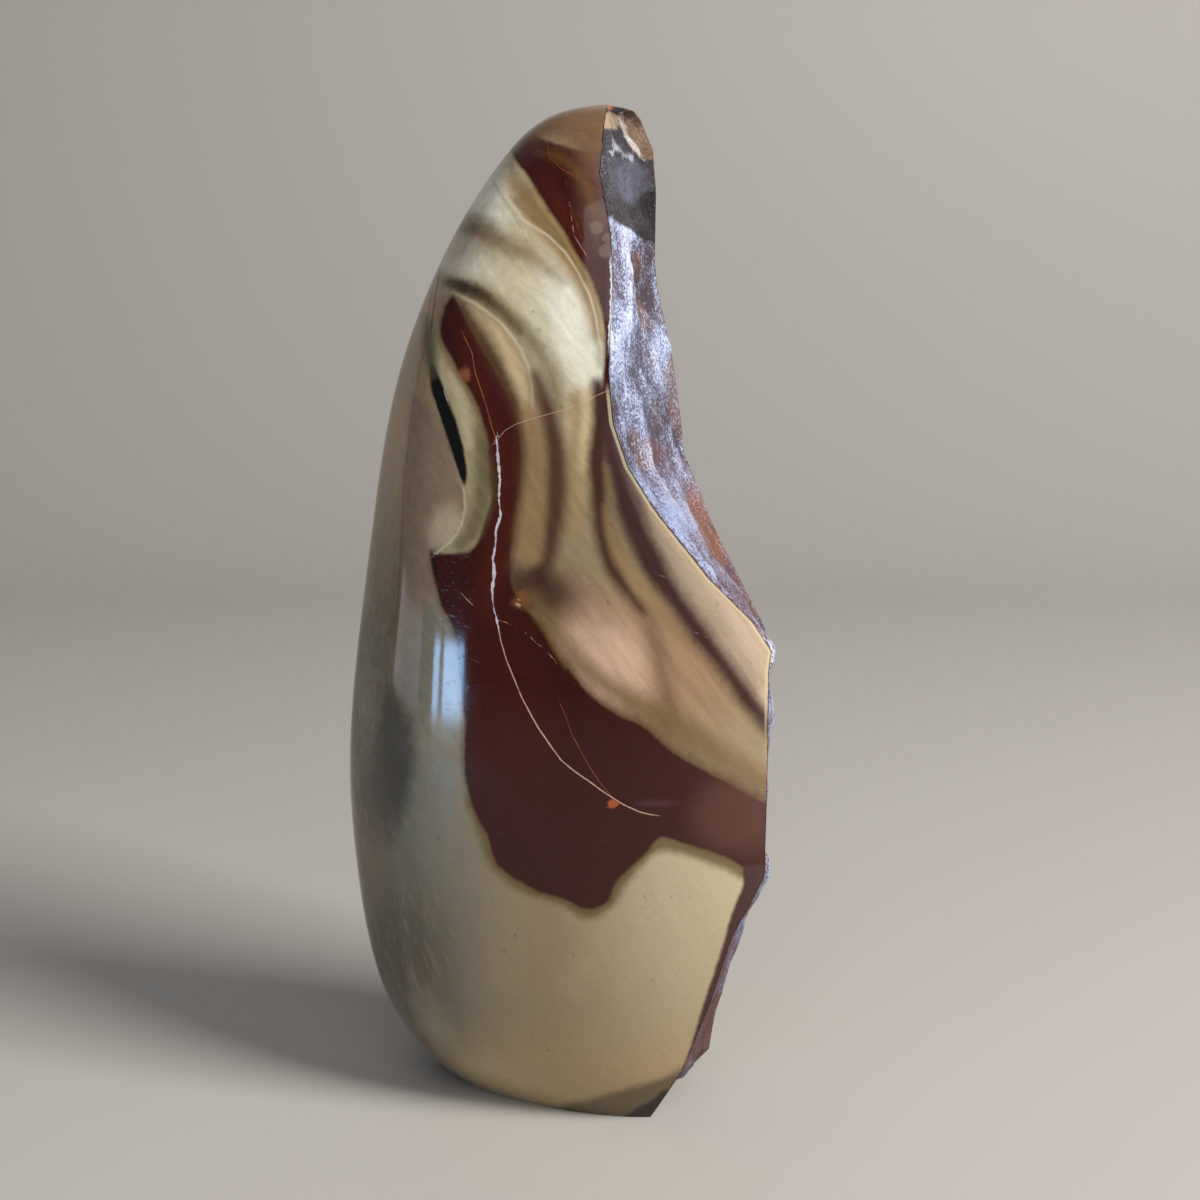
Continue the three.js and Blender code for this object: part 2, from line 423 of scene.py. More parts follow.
def segment_distance(at, start, end):
    """How far each place is from a straight piece, and where along it that is."""
    line = end - start
    along = np.clip(((at - start) @ line) / max(line @ line, TINY), 0, 1)
    off = at - start - along[:, None] * line
    side = np.sign(line[0] * off[:, 1] - line[1] * off[:, 0])
    return np.hypot(*off.T), along, side


# %% Regions and stripes
def region(name, corners):
    """An area inside rounded corners, in picture units."""
    outline = rounded(corners, closed=True)
    chosen = near(outline, FAR * PICTURE_PER_MM)
    at = place[chosen]
    nearest = np.full(len(at), VERY_FAR)
    inside = np.zeros(len(at), bool)
    for start, end in zip(outline, np.roll(outline, -1, axis=0)):
        nearest = np.minimum(nearest, segment_distance(at, start, end)[0])
        crosses = (start[1] > at[:, 1]) != (end[1] > at[:, 1])
        slope = (end[0] - start[0]) / (end[1] - start[1] + TINY)
        inside ^= crosses & (at[:, 0] < start[0] + slope * (at[:, 1] - start[1]))
    values = np.full(len(place), -FAR)
    values[chosen] = np.clip(np.where(inside, nearest, -nearest) / PICTURE_PER_MM, -FAR, FAR)
    store(mesh, name, values)
    return name


def stripe(name, corners, widths):
    """A stripe along a curve: widths are half-widths in picture units, end to end."""
    middle = rounded(corners, closed=False)
    along_curve = np.linspace(0, 1, len(middle))
    half = np.interp(along_curve, np.linspace(0, 1, len(widths)), widths)
    chosen = near(middle, FAR * PICTURE_PER_MM)
    at = place[chosen]
    best = np.full(len(at), -VERY_FAR)
    for i in range(len(middle) - 1):
        away, along, _ = segment_distance(at, middle[i], middle[i + 1])
        best = np.maximum(best, half[i] + (half[i + 1] - half[i]) * along - away)
    values = np.full(len(place), -FAR)
    values[chosen] = np.clip(best / PICTURE_PER_MM, -FAR, FAR)
    store(mesh, name, values)
    return name


# %% Spots and cracks
def spot(name, centre, radii, lean=0.0):
    """A soft oval, in picture units, leaning by degrees."""
    turn = math.radians(lean)
    off = place - centre
    across = (off[:, 0] * math.cos(turn) + off[:, 1] * math.sin(turn)) / radii[0]
    down = (off[:, 1] * math.cos(turn) - off[:, 0] * math.sin(turn)) / radii[1]
    values = (1 - np.hypot(across, down)) * min(radii) / PICTURE_PER_MM
    store(mesh, name, np.clip(values, -FAR, FAR))
    return name


def crack(name, corners):
    """A thin line: the vector holds the distance to its left or right, and the distance
    to its nearest piece, both in millimetres."""
    corners = np.array(corners, float)
    chosen = near(corners, FAR * PICTURE_PER_MM)
    at = place[chosen]
    best = np.full(len(at), VERY_FAR)
    side_off = np.full(len(at), FAR)
    for start, end in zip(corners[:-1], corners[1:]):
        away, _, side = segment_distance(at, start, end)
        closer = away < best
        best = np.where(closer, away, best)
        side_off = np.where(closer, side * away / PICTURE_PER_MM, side_off)
    values = np.tile([FAR, 0.0, 0.0], (len(place), 1))
    values[chosen] = np.column_stack([side_off, best / PICTURE_PER_MM, np.zeros(len(at))])
    store(mesh, name, values)
    return name

# %% [markdown]
# ## The palette
# Jasper's colours are few: iron gives maroon, rust and gold, clay gives tan and cream,
# and the dark bands are olive or nearly black. The main ones are named here as screen
# colours and made linear once. A marking uses one of them by name, or a shade of its own.


# %% Colours
def linear(red, green, blue):
    """A screen colour made linear by the standard curve, with full opacity."""
    channel = np.array([red, green, blue]) / 255
    bright = ((channel + 0.055) / 1.055)**2.4
    return tuple(np.where(channel < 0.04045, channel / 12.92, bright)) + (1.0,)


TAN = linear(150, 131, 101)
PALE_TAN = linear(184, 169, 138)
LOW_TAN = linear(148, 128, 96)
GREY_OLIVE = linear(120, 120, 110)
FLANK_TAN = linear(172, 140, 101)
SHADED_LOW_FLANK = linear(84, 74, 58)
BAND_TAN = linear(150, 119, 78)
CREAM = linear(202, 187, 154)
PALE_CREAM = linear(236, 231, 212)
OLIVE_CREAM = linear(168, 153, 118)
OLIVE = linear(108, 92, 58)
DARK_OLIVE = linear(74, 56, 34)
TAUPE = linear(120, 90, 66)
GOLD = linear(180, 138, 70)
OLD_GOLD = linear(120, 84, 44)
PINK_TAN = linear(160, 127, 98)
ROSE_TAN = linear(212, 176, 150)
CLAY = linear(136, 114, 94)
MAROON = linear(56, 17, 11)
RUST_MAROON = linear(84, 28, 16)
PURPLE = linear(86, 54, 58)
BROWN = linear(70, 43, 33)
SOFT_BROWN = linear(104, 74, 58)
BLACK = linear(16, 12, 12)
WHITE = linear(208, 205, 210)
ORANGE = linear(168, 84, 40)
BLUSH = linear(214, 174, 150)
# This one is no jasper colour: it paints a sheen on the polish.
SHEEN_SILVER = linear(180, 160, 140)
print("maroon made linear", [round(float(v), 4) for v in MAROON])

# %% Paint
skin_layers = []
wall_layers = []


def paint(name, colour, soft=0.4, wobble=0.2, grow=0.0, strength=1.0, layers=skin_layers,
          front_only=False):
    """Put a marking on top of the ones before it. Sizes are in millimetres."""
    layers.append(("mark", name, colour, soft, wobble, grow, strength, front_only))


def paint_crack(name, colour, width, soft=0.05, ragged=0.5, broken=False, strength=1.0):
    """A line of a half-width in millimetres; ragged varies it, and broken leaves gaps."""
    skin_layers.append(("crack", name, colour, width, soft, ragged, broken, strength))

# %% [markdown]
# ## The pale ground
# Most of the polished face is tan. It turns olive and darker towards the base, greyer on the left, and cream
# where the bands fold over near the top. These are wide, soft spots and regions with no edge to see. A few of
# them are painted light: a sheen on the cream heart, highlights on the rose area, and a sheen along the
# rounded right edge.

# %% Ground colours
paint(region("cream_field", [
    (470, 205), (505, 180), (545, 225), (580, 262), (603, 310), (606, 370), (602, 430), (580, 500),
    (560, 440), (535, 360), (490, 300), (450, 290), (432, 265)]), CREAM, soft=2.6, wobble=0.6)
paint(spot("cream_glow", (562, 345), (24, 62), lean=-24), linear(214, 205, 178), soft=2.4, wobble=0.6,
      grow=1.0, strength=0.9)
# The cream heart is partly the stone's palest cream and partly a painted sheen on the polish.
paint(spot("cream_heart_and_sheen", (577, 328), (15, 44), lean=-20), PALE_CREAM, soft=2.0, wobble=0.6, grow=1.2)
paint(spot("cream_left", (479, 204), (27, 34), lean=35), linear(228, 220, 198), soft=2.6, grow=1.4)
paint(spot("cream_low", (468, 264), (24, 10), lean=28), linear(222, 212, 190), soft=1.8, wobble=0.4,
      grow=0.8, strength=0.8)
paint(spot("left_shade", (460, 236), (24, 24), lean=30), linear(150, 124, 92), soft=2.2, wobble=0.7,
      grow=0.4, strength=0.4)
paint(spot("top_cream", (508, 174), (13, 20), lean=-28), linear(214, 198, 166), soft=1.6, wobble=0.5,
      grow=0.6, strength=0.85)
paint(stripe("olive_smudge", [
    (450, 220), (474, 229), (503, 243), (534, 258), (562, 280)], [8, 11, 9, 6, 3]), linear(124, 101, 73),
    soft=1.9, wobble=0.7, grow=0.1, strength=0.8)
paint(spot("smudge_core", (479, 229), (19, 10), lean=18), linear(98, 76, 52), soft=1.5, wobble=0.7,
      grow=0.2, strength=0.35)
paint(spot("rose_field", (628, 672), (96, 74)), PINK_TAN, soft=6.0, grow=1.0, strength=0.9)
# Painted highlights: two pale spots on the rose area are a soft reflection in the slightly rounded polish,
# painted into its colour.
paint(spot("rose_painted_highlight", (604, 668), (34, 38), lean=-30), ROSE_TAN, soft=4.5, wobble=0.8, grow=2.0,
      strength=0.85)
paint(spot("rose_painted_highlight_upper", (582, 628), (14, 30), lean=-14), ROSE_TAN, soft=2.4, wobble=0.6, grow=1.0,
      strength=0.6)
paint(spot("rose_shade", (560, 600), (40, 24), lean=30), TAUPE, soft=3.6, grow=1.0, strength=0.45)
paint(stripe("rose_smudge", [
    (640, 606), (652, 634), (660, 662), (669, 700), (676, 730)], [4, 7, 8, 7, 4]), linear(104, 78, 56),
    soft=1.9, wobble=0.8, grow=0.2, strength=0.7)
paint(stripe("rose_fold", [
    (560, 640), (590, 632), (615, 640), (634, 662), (640, 694)], [2, 5, 6, 5, 2]), ROSE_TAN, soft=1.8,
    wobble=0.6, strength=0.5)
# Painted sheen: the rounded right edge catches the light, so a pale silvery band is painted along it,
# brightest at its rim and darker on its inner side.
paint(region("sheen", [
    (628, 466), (652, 498), (692, 552), (736, 603), (768, 636), (768, 712), (738, 680), (704, 636),
    (668, 592), (648, 550), (632, 505)]), SHEEN_SILVER, soft=1.4, wobble=0.3, strength=0.95)
paint(stripe("sheen_rim", [
    (640, 496), (660, 524), (684, 553), (712, 584), (742, 612), (762, 634), (764, 690)],
    [2, 5, 6, 6, 6, 5, 3]), linear(192, 166, 134), soft=1.3, strength=0.6)
paint(stripe("sheen_shade", [
    (640, 505), (662, 556), (690, 600), (722, 640), (752, 684)], [5, 7, 8, 8, 6]), TAUPE, soft=2.2,
    strength=0.35)
paint(stripe("sheen_dusk", [
    (630, 478), (642, 508), (660, 545), (690, 590), (722, 632)], [5, 9, 8, 7, 5]), linear(146, 130, 108),
    soft=2.0, wobble=0.4, strength=0.6)
paint(region("left_ground", [
    (414, 396), (440, 420), (450, 450), (460, 480), (465, 510), (460, 530), (440, 552), (430, 600),
    (402, 640), (398, 600), (401, 550), (404, 480), (409, 430)]), CLAY, soft=0.8, strength=0.8)
paint(spot("left_cream", (447, 530), (15, 18)), linear(190, 174, 146), soft=1.6, wobble=0.8, grow=0.5,
      strength=0.7)
print(len(skin_layers), "layers with the ground")

# %% [markdown]
# ## The folded bands near the top
# Above the middle the layers sweep down from the upper left to the right in long
# curves: a maroon band along the edge, a tan one, thin cream lines where two layers
# meet, and a dark olive one. Each is a region or a stripe, softer on one side.

# %% Upper bands
paint(stripe("tan_band", [
    (512, 180), (522, 196), (538, 219), (558, 243), (576, 268), (590, 298), (597, 335)],
    [4, 9, 10, 10, 10, 8, 5]), BAND_TAN, soft=1.5, strength=0.95)
paint(stripe("band_shade", [
    (512, 168), (532, 200), (551, 226), (570, 252), (586, 282), (597, 318), (600, 365)],
    [3, 4, 4, 4, 4, 3, 2]), OLIVE, soft=1.2, wobble=0.3, strength=0.6)
paint(region("maroon_band", [
    (500, 128), (512, 155), (530, 180), (545, 205), (560, 225), (575, 250), (588, 275), (597, 295),
    (603, 320), (605, 350), (602, 385), (604, 420), (640, 428), (680, 396), (780, 330), (780, 160),
    (680, 110), (610, 150), (565, 146), (530, 134)]), MAROON, soft=0.45, wobble=0.25)
paint(stripe("band_rust", [
    (540, 178), (556, 200), (572, 226), (586, 252), (598, 285)], [3, 6, 7, 6, 3]), RUST_MAROON, soft=2.0,
    wobble=0.5, strength=0.6)
# Painted sheen: a soft lighter patch on the maroon band where the polish reflects the light.
paint(spot("band_painted_sheen", (594, 186), (13, 40), lean=-10), SOFT_BROWN, soft=2.2, wobble=0.6, grow=0.5,
      strength=0.8)
paint(region("dome", [
    (616, 84), (540, 88), (486, 140), (510, 150), (545, 138), (580, 150), (606, 176), (630, 160)]), TAUPE,
    soft=2.0, wobble=0.7, strength=0.95)
paint(spot("dome_haze", (528, 150), (26, 9), lean=-30), PURPLE, soft=1.8, wobble=0.8, strength=0.4)
paint(stripe("gold_streak", [
    (538, 152), (556, 156), (574, 168), (587, 190), (594, 215), (599, 245)], [2, 4, 4, 4, 3, 2]), OLD_GOLD,
    soft=1.0, wobble=0.7, strength=0.4)
paint(stripe("purple_fringe", [
    (601, 150), (600, 180), (603, 205), (607, 230), (610, 262), (610, 300), (607, 350)],
    [3, 4, 5, 4, 3, 2, 2]), linear(104, 80, 86), soft=0.9, wobble=0.6, strength=0.35)
for name, centre, radius in (("ring_a", (597, 228), 7), ("ring_b", (607, 238), 6), ("ring_c", (607, 250), 8)):
    ring = spot(name, centre, (radius, radius))
    paint(ring, linear(150, 128, 118), soft=0.3, wobble=0.3, strength=0.3, front_only=True)
paint_crack(crack("gold_line", [
    (506, 148), (527, 181), (542, 207), (557, 228), (572, 253), (585, 278), (596, 300), (602, 322),
    (604, 352)]), GOLD, 0.16, soft=0.25, strength=0.5)
paint_crack(crack("cream_line", [
    (500, 186), (510, 202), (523, 220), (536, 228), (549, 236), (565, 252), (578, 271), (589, 293),
    (596, 318), (600, 345)]), linear(222, 212, 184), 0.15, soft=0.35, strength=0.75)
paint_crack(crack("line_shade", [
    (514, 200), (529, 216), (545, 228), (560, 242), (574, 260), (586, 280)]), OLIVE, 0.25, soft=0.5,
    strength=0.5)
paint_crack(crack("fold_line", [
    (494, 182), (504, 200), (513, 214), (520, 226)]), OLIVE, 0.15, soft=0.5, strength=0.45)
paint(stripe("olive_band", [
    (444, 280), (462, 284), (480, 293), (500, 307), (520, 326), (540, 352), (554, 382), (562, 414)],
    [5, 7, 8, 8, 8, 8, 7, 4]), OLIVE, soft=1.8, wobble=0.6, strength=0.8)
paint(stripe("olive_core", [
    (452, 284), (470, 288), (486, 298), (504, 314), (520, 332)], [2, 4, 4, 3, 1]), DARK_OLIVE, soft=1.1,
    wobble=0.5, strength=0.85)
paint(stripe("inner_tan", [
    (460, 306), (482, 322), (502, 345), (516, 372), (524, 400), (528, 430)], [5, 8, 9, 10, 10, 8]),
    linear(202, 177, 138), soft=1.4, wobble=0.3, strength=0.95)
paint(spot("inner_shade", (482, 340), (9, 26), lean=-32), OLIVE, soft=1.6, wobble=0.4, grow=0.4,
      strength=0.7)
paint_crack(crack("second_line", [
    (456, 294), (472, 302), (486, 311), (500, 322), (512, 336), (521, 350), (528, 366), (532, 384),
    (533, 404)]), linear(214, 200, 168), 0.16, soft=0.4, strength=0.8)
paint(spot("dark_mark", (466, 288), (15, 5), lean=20), linear(52, 34, 20), soft=0.8, wobble=0.5, grow=0.2,
      strength=0.8)
print(len(skin_layers), "layers with the folded bands")

# %% [markdown]
# ## Hanging stripes in the middle
# Below the folds the bands hang almost straight down, like fingers, and end in round
# or tapering tips. Stripes with widths along them draw these.

# %% Middle stripes
paint(stripe("gold_tan", [
    (576, 400), (579, 440), (577, 480), (572, 530)], [10, 13, 12, 6]), linear(158, 132, 92), soft=1.8,
    wobble=0.4, strength=0.85)
paint(stripe("gold_glow", [
    (590, 396), (588, 436), (584, 466)], [6, 8, 2]), linear(218, 195, 150), soft=1.4, strength=0.85)
paint(stripe("first_brown", [
    (536, 376), (546, 405), (554, 440), (556, 480), (553, 520), (547, 552), (538, 580)],
    [5, 9, 11, 12, 11, 10, 9]), linear(78, 48, 36), soft=1.6, wobble=0.35, strength=0.95)
paint(spot("brown_pool", (532, 590), (36, 20), lean=12), BROWN, soft=2.4, wobble=0.5, grow=0.8,
      strength=0.9)
paint(stripe("third_brown", [
    (598, 385), (600, 425), (597, 460), (600, 505), (606, 540), (615, 568), (628, 590), (643, 612)],
    [7, 9, 9, 9, 9, 9, 6, 2]), BROWN, soft=1.3, wobble=0.35)
paint(stripe("fourth_brown", [
    (607, 400), (611, 440), (617, 470), (627, 505), (642, 543), (660, 578), (680, 606), (704, 640),
    (728, 672), (748, 700), (772, 730)], [8, 9, 10, 13, 13, 12, 11, 10, 9, 9, 9]), linear(66, 42, 38),
    soft=1.5, wobble=0.35)
paint(stripe("fourth_purple", [
    (612, 420), (620, 455), (632, 485), (650, 530)], [3, 5, 5, 2]), linear(96, 66, 74), soft=1.1,
    wobble=0.4, strength=0.6)
paint(stripe("gold_tongue", [
    (605, 506), (609, 528), (619, 554), (636, 582), (659, 611), (686, 645)], [1, 4, 7, 7, 5, 3]),
    linear(146, 120, 84), soft=1.1, wobble=0.25, strength=0.9)
paint(stripe("gold_sliver", [
    (604, 464), (608, 480), (611, 496)], [1, 3, 1]), linear(132, 106, 68), soft=0.5, strength=0.6)
print(len(skin_layers), "layers with the hanging stripes")

# %% [markdown]
# ## The maroon field
# A long wedge comes down from the upper left and widens into the darkest field, with
# one arm that runs to the right edge. Its lower border has an olive halo, where the
# iron has bled into the clay.

# %% Maroon wedge, field and halo
paint(stripe("halo", [
    (470, 800), (482, 828), (495, 860), (520, 884), (555, 896), (587, 911), (608, 902), (628, 870),
    (657, 844), (700, 849), (748, 872)], [3, 6, 7, 7, 7, 7, 7, 8, 10, 9]), OLIVE, soft=1.0, wobble=0.4,
    strength=0.95)
paint(stripe("upper_halo", [
    (532, 596), (550, 620), (568, 646), (588, 670), (616, 692), (652, 714), (692, 738), (732, 764),
    (776, 788)], [3, 5, 6, 7, 9, 14, 16, 15, 10]), linear(120, 96, 62), soft=2.3, wobble=0.5, strength=0.9)
paint(stripe("inner_halo", [
    (538, 626), (556, 652), (588, 696), (622, 720), (662, 746), (700, 769), (740, 791), (775, 805)],
    [2, 4, 7, 9, 9, 8, 7, 4]), linear(82, 56, 36), soft=1.8, wobble=0.5, strength=0.9)
region("maroon_field", [
    (451, 298), (460, 308), (472, 332), (487, 358), (501, 384), (513, 408), (519, 430), (522, 460),
    (521, 500), (515, 530), (510, 560), (512, 585), (520, 600), (531, 613), (541, 625), (550, 641),
    (560, 659), (585, 690), (600, 703), (620, 717), (640, 725), (668, 748), (700, 768), (740, 790),
    (765, 802), (800, 815), (800, 905), (745, 868), (715, 853), (680, 842), (660, 838), (642, 857),
    (618, 880), (610, 899), (598, 908), (582, 908), (565, 900), (535, 890), (505, 872), (494, 858),
    (487, 835), (472, 805), (465, 770), (465, 725), (459, 680), (455, 635), (447, 615), (439, 600),
    (433, 556), (455, 554), (471, 550), (481, 533), (488, 510), (492, 495), (489, 465), (486, 432),
    (471, 392), (450, 355), (440, 330)])
paint(stripe("wedge_edge", [
    (462, 308), (480, 338), (497, 368), (512, 400), (521, 432), (525, 470), (522, 510), (516, 545)],
    [2, 4, 5, 6, 6, 6, 6, 5]), BROWN, soft=1.5, wobble=0.4, strength=0.95)
paint("maroon_field", linear(96, 70, 40), soft=0.8, wobble=0.3, grow=0.5, strength=0.6)
paint("maroon_field", MAROON, soft=0.35, wobble=0.25)
paint(stripe("wedge_rust", [
    (455, 318), (467, 350), (482, 385), (497, 425), (504, 470), (503, 520), (494, 565), (486, 610)],
    [4, 8, 9, 11, 12, 13, 14, 8]), RUST_MAROON, soft=2.4, wobble=0.6, strength=0.6)
paint(spot("field_rust", (505, 700), (38, 90), lean=-10), RUST_MAROON, soft=4.0, wobble=1.2, grow=0.6,
      strength=0.2)
paint(stripe("wedge_blur", [
    (460, 303), (474, 332), (490, 360), (505, 388), (516, 416), (521, 450), (521, 495), (515, 535),
    (511, 570)], [1, 2, 3, 3.5, 4, 4, 4, 3.5, 3]), linear(86, 52, 36), soft=1.5, wobble=0.4, strength=0.75)
paint(stripe("tan_finger", [
    (527, 408), (533, 430), (536, 455), (534, 490), (531, 525), (529, 552)], [4, 8, 9, 11, 13, 13]),
    linear(150, 121, 84), soft=1.5, wobble=0.3)
paint(stripe("field_gold", [
    (523, 606), (533, 614), (545, 631), (554, 648), (566, 668)], [1, 2, 2, 1.5, 1]), linear(124, 100, 56),
    soft=0.6, strength=0.6)
paint(spot("purple_dash", (655, 803), (17, 3)), PURPLE, soft=0.5, strength=0.7, front_only=True)
paint(spot("arm_light", (735, 815), (34, 30)), linear(92, 58, 46), soft=3.0, wobble=0.5, grow=1.0,
      strength=0.6)
paint(region("edge_strip", [
    (748, 866), (743, 885), (735, 905), (727, 930), (720, 955), (712, 980), (703, 1005), (694, 1035),
    (686, 1060), (680, 1075), (672, 1087), (700, 1112), (800, 1000), (800, 880)]), linear(64, 38, 34),
    soft=0.4, wobble=0.2)
paint(region("foot_band", [
    (530, 1124), (560, 1107), (600, 1097), (630, 1088), (660, 1079), (690, 1070), (690, 1130),
    (600, 1140)]), linear(88, 72, 50), soft=0.9, wobble=0.3, strength=0.85)
paint(region("foot_dark", [
    (622, 1124), (634, 1110), (650, 1101), (666, 1090), (690, 1096), (660, 1140)]), linear(44, 30, 22),
    soft=0.5)
print(len(skin_layers), "layers with the maroon field")

# %% [markdown]
# ## The eye on the left
# Left of the wedge is a pale olive lens with a black sliver in it, and a cream line
# that closes it below.

# %% Olive lens and black sliver
paint(region("olive_lens", [
    (428, 330), (441, 350), (452, 374), (466, 395), (476, 420), (483, 450), (487, 480), (490, 500),
    (484, 520), (475, 545), (455, 552), (438, 552), (456, 541), (464, 524), (466, 500), (465, 470),
    (456, 425), (445, 392), (431, 355)]), OLIVE_CREAM, soft=0.45, wobble=0.25)
paint(stripe("lens_shade", [
    (478, 430), (483, 462), (483, 496), (474, 528), (459, 546)], [4, 8, 10, 9, 5]), linear(98, 87, 62),
    soft=1.3, wobble=0.4, strength=0.8)
paint(stripe("lens_light", [
    (440, 362), (452, 386), (463, 412), (469, 444)], [3, 5, 5, 3]), linear(204, 188, 154), soft=0.9,
    wobble=0.4, strength=0.6)
paint_crack(crack("lens_rim", [
    (436, 404), (447, 434), (456, 462), (464, 490), (465, 508), (461, 526), (451, 541), (436, 553)]),
    linear(196, 186, 160), 0.2, soft=0.2, strength=0.7)
paint(region("black_lens", [
    (431, 362), (430, 384), (435, 403), (443, 427), (452, 454), (459, 476), (464, 487), (467, 472),
    (463, 448), (457, 424), (448, 400), (438, 374)]), BLACK, soft=0.3, wobble=0.15)
paint_crack(crack("glint", [
    (446, 384), (444, 392), (448, 402)]), WHITE, 0.07, soft=0.1, ragged=0.9, strength=0.6)
# Painted reflection: a dark band that the polished flank reflects is painted into its colour.
paint(spot("flank_dark_reflection", (391, 762), (20, 66), lean=4), linear(58, 58, 54), soft=1.4, wobble=0.7, grow=0.5,
      strength=0.8, front_only=True)
paint(stripe("lens_shadow", [
    (427, 316), (429, 344), (433, 374)], [3, 7, 5]), linear(88, 76, 62), soft=0.9, wobble=0.4, strength=0.8)
paint(spot("wedge_fleck", (466, 374), (4, 5)), linear(176, 104, 72), soft=0.5, wobble=0.9, strength=0.5,
      front_only=True)
paint(stripe("notch", [(431, 552), (434, 565), (438, 584)], [2, 2, 0.5]), BLACK, soft=0.3, strength=0.8)
paint_crack(crack("crease_line", [
    (438, 270), (430, 300), (424, 350), (412, 410), (404, 480), (401, 550), (396, 620)]),
    linear(70, 58, 44), 0.1, soft=0.2, strength=0.5)
paint_crack(crack("crease_top", [(440, 268), (435, 296), (431, 330)]), BLACK, 0.1, soft=0.15, strength=0.7)
print(len(skin_layers), "layers with the eye")

# %% [markdown]
# ## Cracks
# Old cracks are filled with white quartz or stained orange. The widest runs down the
# middle, and thin branches leave it. Each is a line that the material gives a width.

# %% Veins and cracks
crack("scratch_a", [(660, 575), (688, 588), (716, 598)])
crack("scratch_b", [(684, 628), (716, 641)])
crack("scratch_c", [(568, 196), (574, 236), (590, 262)])
for name in ("scratch_a", "scratch_b", "scratch_c"):
    paint_crack(name, WHITE, 0.03, soft=0.06, ragged=0.8, broken=True, strength=0.5)
paint_crack(crack("dotted_crack", [
    (446, 584), (460, 592), (470, 603), (480, 610), (493, 618), (505, 622), (516, 628), (528, 634),
    (536, 643), (546, 650), (553, 659)]), linear(196, 160, 132), 0.05, ragged=0.8, broken=True,
    strength=0.7)
paint_crack(crack("top_crack", [
    (547, 137), (549, 156), (560, 168), (580, 180), (601, 193)]), ORANGE, 0.04, ragged=0.7, strength=0.55)
paint_crack(crack("long_crack", [
    (565, 178), (572, 210), (582, 240), (588, 268), (589, 300)]), ORANGE, 0.03, ragged=0.7, broken=True,
    strength=0.5)
paint_crack(crack("orange_crack", [
    (560, 703), (567, 718), (572, 735), (581, 751), (590, 768), (601, 784), (613, 798)]),
    linear(170, 92, 56), 0.05, ragged=0.6, strength=0.7)
paint_crack(crack("vein_branch", [
    (497, 440), (505, 430), (516, 424), (535, 418), (559, 411), (580, 404), (594, 397), (607, 391)]), BLUSH,
    0.05, ragged=0.5, strength=0.7)
paint_crack(crack("vein_low", [
    (497, 622), (501, 641), (507, 661), (515, 681), (522, 698), (531, 715), (540, 731), (550, 745),
    (561, 760), (575, 772), (590, 782), (602, 791), (613, 798), (626, 806), (640, 812), (653, 815)]), BLUSH,
    0.09, ragged=0.6, strength=0.85)
paint_crack(crack("vein_top", [
    (464, 336), (472, 353), (475, 372), (481, 390), (487, 406), (491, 424), (497, 442)]),
    linear(190, 120, 84), 0.06, ragged=0.6, strength=0.7)
paint_crack(crack("vein", [
    (497, 440), (498, 460), (500, 480), (499, 500), (501, 515), (496, 530), (496, 545), (493, 558),
    (494, 575), (492, 590), (494, 608), (498, 624)]), WHITE, 0.19, soft=0.09, ragged=1.3, strength=0.95)
paint(spot("pit", (521, 598), (8, 10)), linear(138, 84, 46), soft=0.8, wobble=1.3, strength=0.75,
      front_only=True)
paint(spot("pit_heart", (520, 601), (3, 4)), linear(224, 200, 176), soft=0.3, wobble=0.9, front_only=True)
paint(region("orange_chip", [
    (606, 806), (612, 799), (620, 804), (612, 808)]), ORANGE, soft=0.25, front_only=True)
print(len(skin_layers), "layers with the cracks")

# %% [markdown]
# ## The broken side's own patches
# A dark glassy chip with pale facets fills the top of the broken side. Its bluish sheen, a white flash and
# its bright orange rim are painted highlights, and the near black under its step is a painted shadow. Below
# it the wall is a bluish bloom, partly a painted sheen, with slate, rust and mauve patches, and a brown foot.

# %% Patches of the wall
WALL_PURPLE = linear(86, 70, 84)
WALL_BLUE_AND_SKY_SHEEN = linear(118, 132, 168)
WALL_RUST = linear(126, 82, 60)
WALL_RED = linear(96, 62, 58)
WALL_DARK = linear(42, 37, 41)
WALL_WHITE = linear(232, 232, 240)
SPARKLE = linear(206, 214, 240)
# A dark purple for dark grain and for painted shade in the hollows.
WALL_GRAIN_AND_SHADE = linear(72, 58, 68)


def patch(name, colour, corners, soft, wobble, strength):
    """A region painted on the broken side."""
    paint(region(name, corners), colour, soft, wobble, strength=strength, layers=wall_layers)


patch("wall_haze", linear(98, 72, 82), [
    (608, 214), (622, 226), (634, 262), (632, 300), (620, 300), (608, 262)], soft=1.0, wobble=1.4,
    strength=0.4)
patch("wall_outer", linear(116, 100, 106), [
    (656, 250), (664, 330), (674, 404), (690, 452), (704, 486), (730, 540), (720, 440), (690, 340),
    (680, 250)], soft=0.6, wobble=0.9, strength=0.75)
patch("wall_mauve", linear(104, 82, 94), [
    (640, 440), (668, 446), (694, 486), (722, 534), (748, 590), (770, 640), (752, 640), (716, 580),
    (676, 522), (646, 480)], soft=1.0, wobble=2.0, strength=0.55)
patch("rust_mid", WALL_RUST, [
    (626, 430), (640, 428), (656, 446), (660, 466), (646, 462), (632, 448)], soft=0.8, wobble=2.2,
    strength=0.45)
patch("rust_low", linear(138, 88, 62), [
    (684, 486), (698, 494), (714, 520), (730, 556), (724, 572), (706, 548), (692, 520)], soft=0.6,
    wobble=2.2, strength=0.8)
patch("dark_low", linear(86, 60, 70), [
    (706, 556), (722, 562), (742, 590), (764, 628), (750, 626), (726, 598)], soft=0.7, wobble=1.0,
    strength=0.8)
patch("wall_slate", linear(92, 98, 120), [
    (616, 338), (640, 326), (656, 350), (664, 400), (652, 430), (628, 424), (618, 390)], soft=1.2,
    wobble=1.8, strength=0.4)
